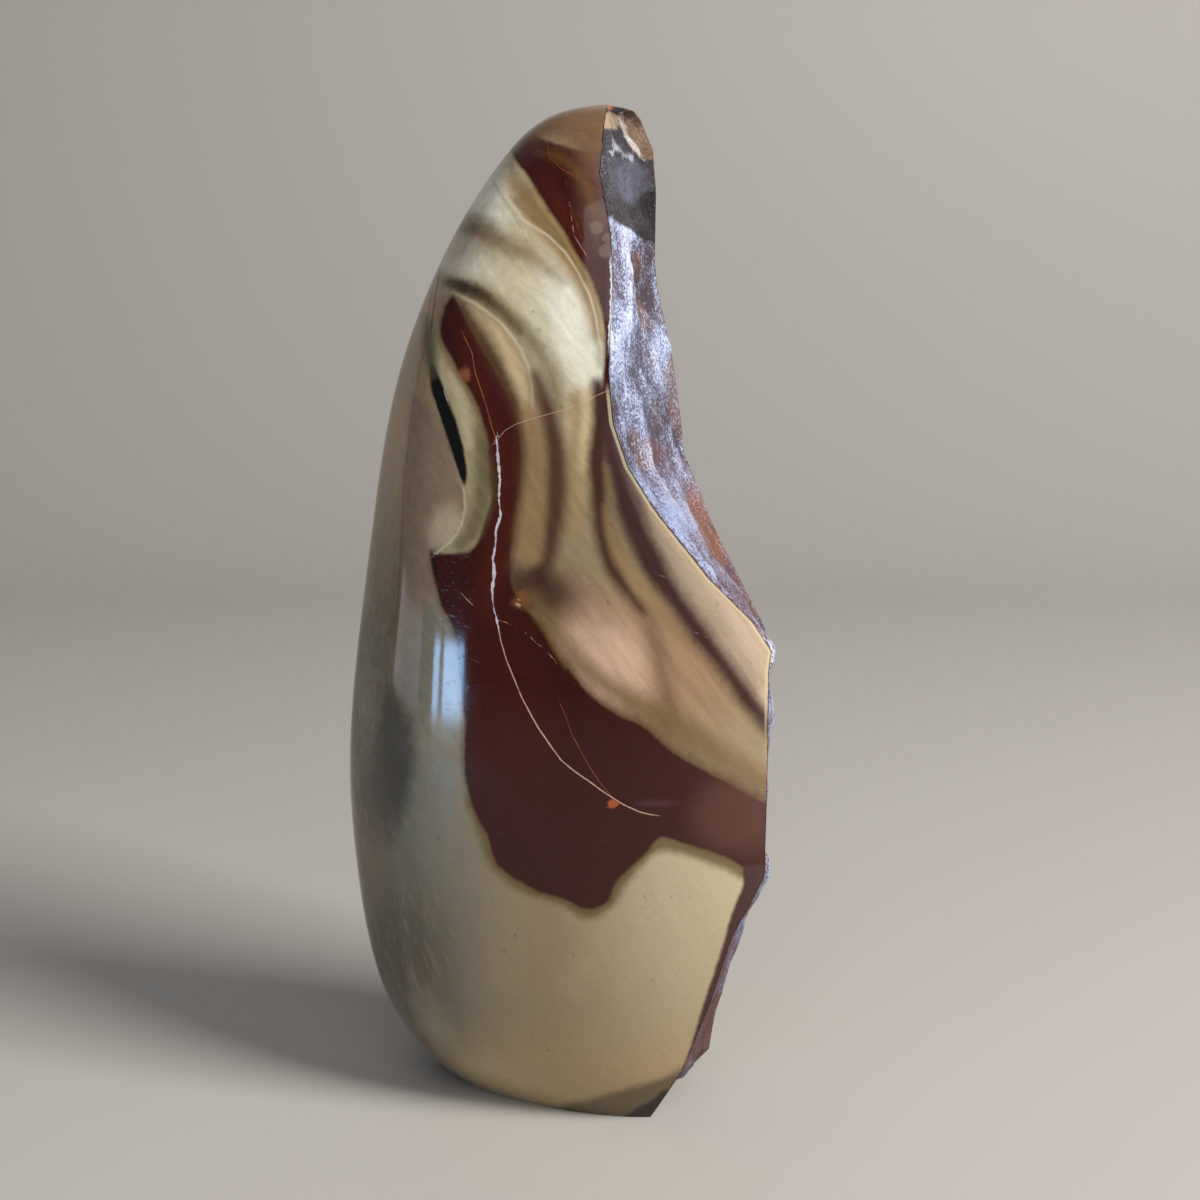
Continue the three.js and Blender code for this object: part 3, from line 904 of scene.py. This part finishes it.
patch("chip", WALL_DARK, [
    (598, 106), (656, 100), (700, 110), (700, 246), (664, 244), (646, 241), (628, 232), (604, 212),
    (600, 160)], soft=0.3, wobble=0.4, strength=1.0)
# Painted sheen: the middle of the chip, facing the light, is painted bluish as its reflection.
patch("chip_painted_sheen", linear(84, 87, 104), [
    (610, 166), (630, 158), (650, 170), (648, 196), (630, 206), (612, 194)], soft=0.9, wobble=1.4,
    strength=0.75)
patch("chip_brown", linear(34, 25, 22), [
    (606, 196), (624, 204), (644, 218), (642, 236), (626, 230), (608, 214)], soft=0.6, wobble=0.9,
    strength=0.85)
# Painted shadow: near black under the step at the chip's lower end.
patch("chip_step_shadow", linear(12, 9, 8), [
    (632, 208), (656, 192), (700, 190), (700, 247), (648, 243), (636, 236)], soft=0.7, wobble=0.9,
    strength=0.95)
patch("chip_tan", linear(172, 148, 122), [
    (600, 113), (618, 112), (625, 121), (618, 129), (604, 127)], soft=0.35, wobble=0.7, strength=0.85)
patch("chip_facet", linear(118, 94, 72), [
    (624, 108), (656, 104), (700, 110), (700, 160), (648, 160), (636, 150), (627, 132)], soft=0.25,
    wobble=0.5, strength=0.95)
# Painted highlight: a white flash on the chip's glassy face.
patch("chip_painted_flash", linear(176, 178, 190), [
    (606, 146), (613, 143), (621, 150), (630, 158), (622, 160), (614, 154), (606, 156)], soft=0.6,
    wobble=1.8, strength=0.75)
patch("chip_line", linear(226, 220, 214), [
    (622, 110), (625, 111), (629, 132), (638, 150), (649, 161), (647, 163), (636, 152), (626, 134)],
    soft=0.25, wobble=0.5, strength=0.65)
# Painted highlight: the thin top edge of the chip is painted bright orange as light shines through it.
patch("chip_rim_highlight", linear(200, 118, 60), [
    (596, 96), (640, 98), (652, 108), (640, 109), (622, 107), (600, 106)], soft=0.25, wobble=0.6,
    strength=0.85)
print(len(skin_layers), "layers on the skin,", len(wall_layers), "on the wall")

# %% [markdown]
# ## Grit and shells on the broken side
# Broken jasper is all small shells: shallow bowls a few millimetres across that meet
# in ridges, with grit on them. That repeats over a surface, so Geometry Nodes makes it.
# A cell pattern's squared distance is a bowl, and noise is the grit. Both are faded out
# at the two edges, so the polished side stays as it is.


# %% A socket that takes part in Python sums
class Value:
    """Each operator adds one Math node and returns its output."""

    def __init__(self, tree, socket):
        self.tree = tree
        self.socket = socket

    def math(self, operation, *others):
        return node(self.tree, "ShaderNodeMath", {"operation": operation}, dict(enumerate((self, *others))))

    def __add__(self, other):
        return self.math("ADD", other)

    def __sub__(self, other):
        return self.math("SUBTRACT", other)

    def __rsub__(self, other):
        return self.math("MULTIPLY_ADD", -1.0, other)

    def __mul__(self, other):
        return self.math("MULTIPLY", other)

    __radd__ = __add__
    __rmul__ = __mul__


def node(tree, kind, settings=None, sockets=None, out=0):
    """Add a node, apply its settings, then fill or link its sockets. Returns an output."""
    made = tree.nodes.new(kind)
    for name, value in (settings or {}).items():
        setattr(made, name, value)
    for key, value in (sockets or {}).items():
        if isinstance(value, Value):
            tree.links.new(value.socket, made.inputs[key])
        else:
            made.inputs[key].default_value = value
    return Value(tree, made.outputs[out])


def split(vector):
    """The three numbers of a vector."""
    made = vector.tree.nodes.new("ShaderNodeSeparateXYZ")
    vector.tree.links.new(vector.socket, made.inputs[0])
    return [Value(vector.tree, made.outputs[k]) for k in range(3)]

# %% [markdown]
# ## The tree for the broken side
# Every size in the tree is a named input, in metres, so another wall needs no new nodes.
# The pattern's places are bent by a slow noise first, or the bowls would be too regular.
# The height is stored as well, because the material paints the ridges lighter and the hollows darker as
# painted shading, and no vertex may go below the surface that the stone stands on.


# %% A tree with named inputs
def new_tree(name, inputs):
    tree = bpy.data.node_groups.new(name, "GeometryNodeTree")
    tree.interface.new_socket("Geometry", in_out="INPUT", socket_type="NodeSocketGeometry")
    for label, value in inputs.items():
        socket = tree.interface.new_socket(label, in_out="INPUT", socket_type="NodeSocketFloat")
        socket.default_value = value
    tree.interface.new_socket("Geometry", in_out="OUTPUT", socket_type="NodeSocketGeometry")
    return tree


def vector_math(tree, operation, first, second):
    key = "Scale" if operation == "SCALE" else 1
    return node(tree, "ShaderNodeVectorMath", {"operation": operation}, {0: first, key: second})

# %% A tree that roughens the wall
WARP_SCALE, WARP_REACH = 90.0, 0.009
BOWL_LEVEL = 0.3
GRIT_SCALE = 800.0
LOWEST_PLACE = (-1.0, -1.0, 0.0)


def wall_tree(material):
    tree = new_tree("broken wall", {
        "Shell size": 0.017, "Shell depth": 0.0026,
        "Small shell size": 0.0058, "Small shell depth": 0.0011,
        "Chip size": 0.0022, "Chip depth": 0.0004,
        "Grit depth": 0.0002, "Edge fade": 0.0016, "Seed": 3.0})
    entry = tree.nodes.new("NodeGroupInput")
    given = {socket.name: Value(tree, socket) for socket in entry.outputs if socket.name}
    depth = node(tree, "GeometryNodeInputNamedAttribute", {"data_type": "FLOAT"}, {"Name": "wall_depth"})
    weight = node(tree, "ShaderNodeMapRange", {"interpolation_type": "SMOOTHSTEP"},
                  {"Value": depth * MM, "From Min": 0.0, "From Max": given["Edge fade"]})
    position = node(tree, "GeometryNodeInputPosition")
    warp = node(tree, "ShaderNodeTexNoise", {"noise_dimensions": "4D"},
                {"Vector": position, "W": given["Seed"], "Scale": WARP_SCALE, "Detail": 2.0}, out=1)
    moved = vector_math(tree, "ADD", position, vector_math(tree, "SCALE", warp, WARP_REACH))

    def bowls(size, depth):
        scale = node(tree, "ShaderNodeMath", {"operation": "DIVIDE"}, {0: 1.0, 1: size})
        cells = node(tree, "ShaderNodeTexVoronoi", {"voronoi_dimensions": "4D"},
                     {"Vector": moved, "W": given["Seed"], "Scale": scale})
        return (cells * cells - BOWL_LEVEL) * depth

    grit = node(tree, "ShaderNodeTexNoise", {"noise_dimensions": "4D"}, {
        "Vector": position, "W": given["Seed"], "Scale": GRIT_SCALE, "Detail": 3.0, "Roughness": 0.7})
    height = (bowls(given["Shell size"], given["Shell depth"])
              + bowls(given["Small shell size"], given["Small shell depth"])
              + bowls(given["Chip size"], given["Chip depth"])
              + (grit - 0.5) * given["Grit depth"] * 2.0)
    normal = node(tree, "GeometryNodeInputNormal")
    noted = node(tree, "GeometryNodeStoreNamedAttribute", {"data_type": "FLOAT", "domain": "POINT"}, {
        "Geometry": given["Geometry"], "Name": "shell_height", "Value": height * (1 / MM) * weight})
    lifted = node(tree, "GeometryNodeSetPosition", None, {
        "Geometry": noted, "Offset": vector_math(tree, "SCALE", normal, height * weight)})
    floor = node(tree, "ShaderNodeVectorMath", {"operation": "MAXIMUM"},
                 {0: node(tree, "GeometryNodeInputPosition"), 1: LOWEST_PLACE})
    standing = node(tree, "GeometryNodeSetPosition", None, {"Geometry": lifted, "Position": floor})
    real = node(tree, "GeometryNodeRealizeInstances", None, {"Geometry": standing})
    dressed = node(tree, "GeometryNodeSetMaterial", None, {"Geometry": real, "Material": material})
    leave = tree.nodes.new("NodeGroupOutput")
    tree.links.new(dressed.socket, leave.inputs[0])
    return tree

# %% [markdown]
# ## The jasper material
# The markings are laid over the ground in the order they were drawn. Each distance gets
# a little noise before it becomes an edge, so no border is a clean curve. The polished
# skin then gets its gloss, and the broken wall its own colours and grain.


# %% Helpers for the material
def mix(tree, factor, first, second):
    """Blend two colours. The Mix node keeps a factor and two colours on sockets 0, 6 and 7."""
    return node(tree, "ShaderNodeMix", {"data_type": "RGBA"}, {0: factor, 6: first, 7: second}, out=2)


def attribute(tree, name, out="Fac"):
    return node(tree, "ShaderNodeAttribute", {"attribute_name": name}, out=out)


def smooth(value, low, high, top=1.0):
    """0 below low, top above high, and a smooth step between. low may be above high."""
    return node(value.tree, "ShaderNodeMapRange", {"interpolation_type": "SMOOTHSTEP"},
                {"Value": value, "From Min": low, "From Max": high, "To Max": top})


def between(value, start, full, fading, end, top=1.0):
    """Rises from start to full, and falls again from fading to end."""
    return smooth(value, start, full) * smooth(value, end, fading, top)


def noise(tree, scale, detail=2.0, roughness=0.5, stretch=(1, 1, 1), lean=0.0, seed=0.0):
    """Noise on object coordinates, about 0.5 on average. Scale is in cells a metre.
    Stretch makes it longer along an axis, and lean turns it by degrees on the front."""
    where = node(tree, "ShaderNodeTexCoord", out="Object")
    placed = node(tree, "ShaderNodeMapping", {"vector_type": "TEXTURE"}, {
        "Vector": where, "Scale": stretch, "Rotation": (0, math.radians(lean), 0), "Location": (seed, 0, 0)})
    return node(tree, "ShaderNodeTexNoise", None,
                {"Vector": placed, "Scale": scale, "Detail": detail, "Roughness": roughness})

# %% The noises of the material
RIPPLE_COARSE, RIPPLE_FINE = 3.0, 1.6
material = bpy.data.materials.new("jasper")
material.use_nodes = True
tree = material.node_tree
tree.nodes.clear()
coarse = noise(tree, 170.0) - 0.5
fine = noise(tree, 1000.0, detail=2.0, roughness=0.6, seed=1.0) - 0.5
ripple = coarse * RIPPLE_COARSE + fine * RIPPLE_FINE
cloud = noise(tree, 45.0, detail=3.0, roughness=0.6, seed=2.0)
streaks = noise(tree, 1300.0, detail=2.0, roughness=0.6, stretch=(1, 1, 30), lean=-24.0, seed=3.0)
flow_and_sheen = noise(tree, 700.0, detail=2.0, roughness=0.7, stretch=(1, 1, 12), lean=-36.0, seed=10.0)
grain = noise(tree, 2400.0, detail=2.0, roughness=0.7, seed=4.0)
print(len(tree.nodes), "nodes of noise")

# %% [markdown]
# ## Ground, markings and cracks
# The ground's slow changes come from the picture place: down towards the base and left
# towards the flank. The limits beside across and down are in hundreds of picture units,
# those beside a noise are levels from 0 to 1, and the last number is the share at most.

# %% The ground
FOOT_TAN = linear(176, 149, 108)
SHADED_FOOT_LEFT = linear(84, 72, 54)
across, down, front = split(attribute(tree, "picture", out="Vector"))
low_share = smooth(down + cloud * 1.6, 9.1, 11.9, 0.7)
right_share = smooth(across + cloud * 0.6, 5.7, 7.1) * smooth(down, 7.4, 8.4)
left_share = smooth(across + cloud * 0.7, 5.7, 4.3, 0.95) * smooth(down, 4.6, 6.6)
flank_share = smooth(across + down * 0.12, 5.0, 4.55)
skin = mix(tree, right_share, TAN, PALE_TAN)
skin = mix(tree, low_share, skin, LOW_TAN)
skin = mix(tree, left_share, skin, GREY_OLIVE)
skin = mix(tree, flank_share, skin, FLANK_TAN)
# The low flank is darker, partly its own tone and partly painted shade on the side turned from the light.
skin = mix(tree, flank_share * smooth(down, 4.2, 6.7, 0.9), skin, SHADED_LOW_FLANK)
skin = mix(tree, smooth(down, 10.0, 10.9, 0.7), skin, FOOT_TAN)
skin = mix(tree, flank_share * smooth(cloud + flow_and_sheen * 0.4, 0.62, 0.85, 0.4), skin, GREY_OLIVE)
# The lower left is darker, partly its own tone and partly a painted shadow near where the stone stands.
shaded_foot_left = smooth(across + cloud * 0.3, 5.2, 4.1, 0.85) * smooth(down, 8.2, 9.8)
skin = mix(tree, shaded_foot_left, skin, SHADED_FOOT_LEFT)
skin = mix(tree, smooth(streaks, 0.52, 0.66, 0.42) * left_share, skin, TAN)
skin = mix(tree, smooth(cloud, 0.5, 0.8, 0.2), skin, CREAM)
print(len(tree.nodes), "nodes after the ground")

# %% How layers are laid
CRACK_DRIFT = 0.35
CRACK_ROUGHNESS = 2.6
CRACK_END = (1.5, 1.0)
CRACK_GAPS = (-0.05, 0.12)


def lay(base, layers):
    """Mix each marking over the colour so far, with its edge roughened by noise."""
    for kind, name, colour, *values in layers:
        if kind == "mark":
            soft, wobble, grow, strength, front_only = values
            inside = ripple.math("MULTIPLY_ADD", wobble, attribute(tree, name))
            mask = smooth(inside, -soft - grow, soft - grow, strength)
            if front_only:
                mask = mask * front
        else:
            width, soft, ragged, broken, strength = values
            side, away, _ = split(attribute(tree, name, out="Vector"))
            off = coarse.math("MULTIPLY_ADD", CRACK_DRIFT, side).math("ABSOLUTE")
            rim = (fine + coarse).math("MULTIPLY_ADD", -CRACK_ROUGHNESS * ragged * width, off)
            mask = smooth(rim, width + soft, width - soft, strength) * smooth(away, *CRACK_END) * front
            if broken:
                mask = mask * smooth(fine + coarse, *CRACK_GAPS)
        base = mix(tree, mask, base, colour)
    return base

# %% Lay the skin colours
SKIN_BRIGHTNESS = 0.85
GRAIN_SHARE = 0.3
SHEEN_FLOW_SHARE = 0.12
skin = lay(skin, skin_layers)
specks = smooth(noise(tree, 700.0, detail=1.0, seed=9.0), 0.74, 0.79, 0.3)
skin = mix(tree, specks, skin, DARK_OLIVE)
# The flow noise is partly a painted satin sheen: streaks along the bands lighten and darken the middle of the
# face.
sheen_flow_share = smooth(down, 7.9, 7.0, 0.45) + SHEEN_FLOW_SHARE
skin = vector_math(tree, "SCALE", skin, (flow_and_sheen - 0.5) * sheen_flow_share + grain * GRAIN_SHARE + SKIN_BRIGHTNESS)
print(len(tree.nodes), "nodes after the markings")

# %% [markdown]
# ## Colours of the broken side
# The raw wall is purple-grey with a bluish bloom, partly its own colour and partly a painted sheen of bluish
# light, rust towards its back edge, and painted shade in its hollows, with its ridges painted lighter. The
# shells' height and noise place these, and a painted sparkle, small grains painted bright as glints of light,
# gives the sugary look. The chip at the top keeps almost none of the sparkle.

# %% Lay the wall colours
WALL_FOOT = linear(84, 54, 46)
SPARKLE_HIGH = (5.9, 4.4, 0.4)
SPARKLE_MIDDLE = (9.4, 8.2, 0.3)
WALL_BRIGHTNESS, WALL_CONTRAST = 0.55, 0.6
blotch = noise(tree, 260.0, detail=4.0, roughness=0.75, seed=5.0)
speckle = noise(tree, 2100.0, detail=2.0, roughness=0.75, seed=6.0)
patches = noise(tree, 80.0, detail=2.0, roughness=0.6, seed=7.0)
shell = attribute(tree, "shell_height")
# Painted shading: the shells' height in this sum makes the ridges lighter and the hollows darker.
blotch_and_shell_shading = blotch * 0.75 + speckle * 0.55 + shell * 0.28 + 0.1
outer = attribute(tree, "wall_across")
# The bluish bloom is partly the wall's own colour and partly a painted sheen of bluish light where the
# blotches and ridges are high.
wall = mix(tree, smooth(blotch_and_shell_shading, 0.55, 0.95), WALL_PURPLE, WALL_BLUE_AND_SKY_SHEEN)
low_wall = smooth(down + patches * 1.4, 5.3, 7.0)
wall = mix(tree, low_wall * smooth(blotch_and_shell_shading, 1.1, 0.7, 0.9), wall, WALL_RED)
# Painted shade: the wall is darkened where the blotches and the shells are low, in its hollows.
wall = mix(tree, smooth(blotch_and_shell_shading, 0.74, 0.5, 0.75), wall, WALL_GRAIN_AND_SHADE)
rust_place = patches + speckle * 0.25 - outer * 0.22
wall = mix(tree, smooth(rust_place - low_wall * 0.06, 0.6, 0.72, 0.6), wall, WALL_RUST)
foot_wall = smooth(down + patches * 0.6, 8.2, 9.2, 0.8)
wall = mix(tree, foot_wall * smooth(blotch_and_shell_shading, 1.25, 0.8), wall, WALL_FOOT)
wall = lay(wall, wall_layers)
# Partly dark grain and partly painted shade, a little stronger in the hollows.
wall = mix(tree, smooth(speckle + shell * 0.1, 0.5, 0.38, 0.35), wall, WALL_GRAIN_AND_SHADE)
off_chip = smooth(attribute(tree, "chip"), 0.3, -0.3, 0.92) + 0.08
# Painted sparkle: small grains are painted bright and bluish as glints of light on them, mostly off the chip.
sparkle = smooth(speckle + blotch * 0.4 + shell * 0.14, 0.7, 0.87) * off_chip
sparkle_share = smooth(down + patches, *SPARKLE_HIGH) + smooth(down, *SPARKLE_MIDDLE)
wall = mix(tree, sparkle * sparkle_share, wall, SPARKLE)
# Painted shading: the wall's brightness follows the blotches and the shells' height.
wall = vector_math(tree, "SCALE", wall, blotch_and_shell_shading * WALL_CONTRAST + WALL_BRIGHTNESS)
print(len(tree.nodes), "nodes after the broken side")

# %% [markdown]
# ## The edge between skin and wall
# Light catches the sharp edge, so narrow lips run along it: white below the chip and
# again where the edge is crushed lower down, dark on the broken side, and cream on the
# polished side. Depths are millimetres from the edge, positive on the broken side, and
# each lip has its own stretch down the picture.

# %% Join skin and wall
LIP_BROWN = linear(58, 34, 30)
WHITE_LIP_DOWN = (2.5, 2.7, 3.3, 3.6, 0.9)
LOW_WHITE_DOWN = (6.2, 6.5, 8.3, 8.8)
DARK_LIP_DOWN = (3.6, 3.9, 0.85)
CREAM_LIP_DOWN = (3.8, 4.0, 6.8, 7.6, 0.75)
CREAM_LIP_DEPTH = (-0.85, -0.55, -0.26, -0.12)
depth_mm = attribute(tree, "wall_depth")
wall_share = smooth(depth_mm + fine * 0.5, -0.12, 0.12)
colour = mix(tree, wall_share, skin, wall)
white_lip = smooth(depth_mm + fine * 0.8, -0.45, -0.25) * smooth(depth_mm + coarse * 0.8, 1.5, 1.0)
low_white = smooth(depth_mm, -0.15, 0.1) * smooth(depth_mm + coarse, 1.1, 0.6)
low_white = low_white * smooth(speckle, 0.44, 0.56, 0.85)
dark_lip = smooth(depth_mm, -0.18, 0.0) * smooth(depth_mm + fine * 0.6, 0.45, 0.2)
for share, lip_colour in (
        (white_lip * between(down, *WHITE_LIP_DOWN), WALL_WHITE),
        (low_white * between(down, *LOW_WHITE_DOWN), WALL_WHITE),
        (dark_lip * smooth(down, *DARK_LIP_DOWN), LIP_BROWN),
        (between(depth_mm, *CREAM_LIP_DEPTH) * between(down, *CREAM_LIP_DOWN), CREAM)):
    colour = mix(tree, share * outer, colour, lip_colour)
print(len(tree.nodes), "nodes after the lips")

# %% [markdown]
# ## Gloss, grain and relief
# The wheel leaves a glassy polish with faint scratches. The wall is dull between its
# grains. Only the fine relief is bump: the shells themselves are in the mesh.

# %% Shader
BUMP_STRENGTH, BUMP_DISTANCE = 0.8, 0.0007
QUARTZ_IOR, QUARTZ_SPECULAR = 1.54, 0.35
POLISH_ROUGHNESS, WALL_ROUGHNESS = 0.06, 0.6
scratch = noise(tree, 2600.0, detail=1.0, stretch=(20, 1, 1), lean=20.0, seed=8.0)
polish = smooth(cloud, 0.4, 0.8, 0.05) + smooth(scratch, 0.62, 0.72, 0.1) + POLISH_ROUGHNESS
wall_rough = WALL_ROUGHNESS - smooth(speckle, 0.55, 0.7, 0.35)
roughness = polish * (1 - wall_share) + wall_rough * wall_share
relief = (speckle * 0.6 + blotch) * wall_share
bump = node(tree, "ShaderNodeBump", None, {
    "Strength": BUMP_STRENGTH, "Distance": BUMP_DISTANCE, "Height": relief})
shader = node(tree, "ShaderNodeBsdfPrincipled", None, {
    "Base Color": colour, "Roughness": roughness, "Normal": bump, "IOR": QUARTZ_IOR,
    "Specular IOR Level": QUARTZ_SPECULAR})
output = tree.nodes.new("ShaderNodeOutputMaterial")
tree.links.new(shader.socket, output.inputs["Surface"])
print(len(tree.nodes), "nodes in the jasper")

# %% [markdown]
# ## Make the stone
# The tree runs on the mesh once, and its result becomes a plain mesh, because the
# export knows no modifiers' instances.


# %% Run the tree and keep its mesh
def apply_tree(source, tree, name):
    """Run a tree on a mesh, with its own inputs' values, and return a plain object."""
    carrier = add_object("carrier", source)
    modifier = carrier.modifiers.new("nodes", "NODES")
    modifier.node_group = tree
    for socket in tree.interface.items_tree:
        if socket.in_out == "INPUT" and socket.socket_type == "NodeSocketFloat":
            modifier[socket.identifier] = socket.default_value
    graph = bpy.context.evaluated_depsgraph_get()
    made = bpy.data.meshes.new_from_object(carrier.evaluated_get(graph), depsgraph=graph)
    bpy.data.objects.remove(carrier)
    made.name = name
    return add_object(name, made)


jasper = apply_tree(mesh, wall_tree(material), "polished_stone")
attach(jasper, "root")
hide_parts("stone")
print("stone piece", len(jasper.data.vertices), "vertices", [round(v, 4) for v in jasper.dimensions])

# %% [markdown]
# ## Floor and light
# A plain pale sweep stands in for a table and a wall. A large soft light from the upper
# right lights the front and the broken side. Two small bluish lights low on the left are
# the window that the flank reflects, and a low panel gives the flank its soft sheen.

# %% The sweep
SWEEP_FRONT, SWEEP_BACK = -1.6, 0.9
SWEEP_HEIGHT, SWEEP_HALF_WIDTH = 1.6, 2.2
SWEEP_TURN, TURN_STEPS = 0.35, 12
SWEEP_ROUGHNESS = 0.6


def add_sweep():
    start = SWEEP_BACK - SWEEP_TURN
    profile = [(SWEEP_FRONT, 0.0), (start, 0.0)]
    for k in range(1, TURN_STEPS + 1):
        angle = math.radians(90 * k / TURN_STEPS)
        profile.append((start + SWEEP_TURN * math.sin(angle), SWEEP_TURN - SWEEP_TURN * math.cos(angle)))
    profile.append((SWEEP_BACK, SWEEP_HEIGHT))
    corners = [(x, y, z) for y, z in profile for x in (-SWEEP_HALF_WIDTH, SWEEP_HALF_WIDTH)]
    faces = [(2 * k, 2 * k + 1, 2 * k + 3, 2 * k + 2) for k in range(len(profile) - 1)]
    sweep = bpy.data.meshes.new("sweep")
    sweep.from_pydata(corners, [], faces)
    sweep.shade_smooth()
    pale = bpy.data.materials.new("pale")
    pale.use_nodes = True
    shader = pale.node_tree.nodes["Principled BSDF"]
    shader.inputs["Base Color"].default_value = linear(192, 188, 182)
    shader.inputs["Roughness"].default_value = SWEEP_ROUGHNESS
    sweep.materials.append(pale)
    add_object("sweep", sweep)


add_sweep()
print("sweep", SWEEP_BACK - SWEEP_FRONT, "m deep")


# %% The lights
def add_light(name, place_m, target, size, watts, colour=(1, 1, 1)):
    """A soft rectangle, its place and size in metres, turned towards a target."""
    data = bpy.data.lights.new(name, "AREA")
    data.shape = "RECTANGLE"
    data.size, data.size_y = size
    data.energy = watts
    data.color = colour
    lamp = add_object(name, data)
    away = np.array(place_m) - np.array(target)
    flat = math.hypot(away[0], away[1])
    lamp.location = place_m
    lamp.rotation_euler = (math.atan2(flat, away[2]), 0, math.atan2(away[1], away[0]) + math.radians(90))


STONE_MIDDLE = (0, 0, 0.085)
FLANK_PLACE = (-0.02, -0.018, 0.075)
SUNLIT = (1.0, 0.97, 0.93)
SKYLIGHT = (0.36, 0.62, 1.0)
add_light("key", (0.85, -0.5, 0.75), STONE_MIDDLE, (0.5, 0.5), 19, SUNLIT)
add_light("fill", (0.1, -1.0, 0.9), STONE_MIDDLE, (0.9, 0.6), 2.5)
add_light("window", (-0.43, -0.47, 0.045), FLANK_PLACE, (0.075, 0.05), 0.26, SKYLIGHT)
add_light("window_side", (-0.48, -0.42, 0.045), FLANK_PLACE, (0.03, 0.05), 0.09, SKYLIGHT)
add_light("panel", (-0.62, -0.1, 0.05), (-0.03, -0.01, 0.07), (0.5, 0.06), 0.15, (0.85, 0.9, 1.0))
print("lights", [light.name for light in bpy.data.lights])

# %% World and view
WORLD_STRENGTH = 0.17
scene = bpy.context.scene
scene.view_settings.view_transform = "Standard"
world = scene.world or bpy.data.worlds.new("world")
scene.world = world
world.use_nodes = True
world.node_tree.nodes["Background"].inputs["Color"].default_value = linear(228, 232, 240)
world.node_tree.nodes["Background"].inputs["Strength"].default_value = WORLD_STRENGTH
print("world strength", WORLD_STRENGTH)
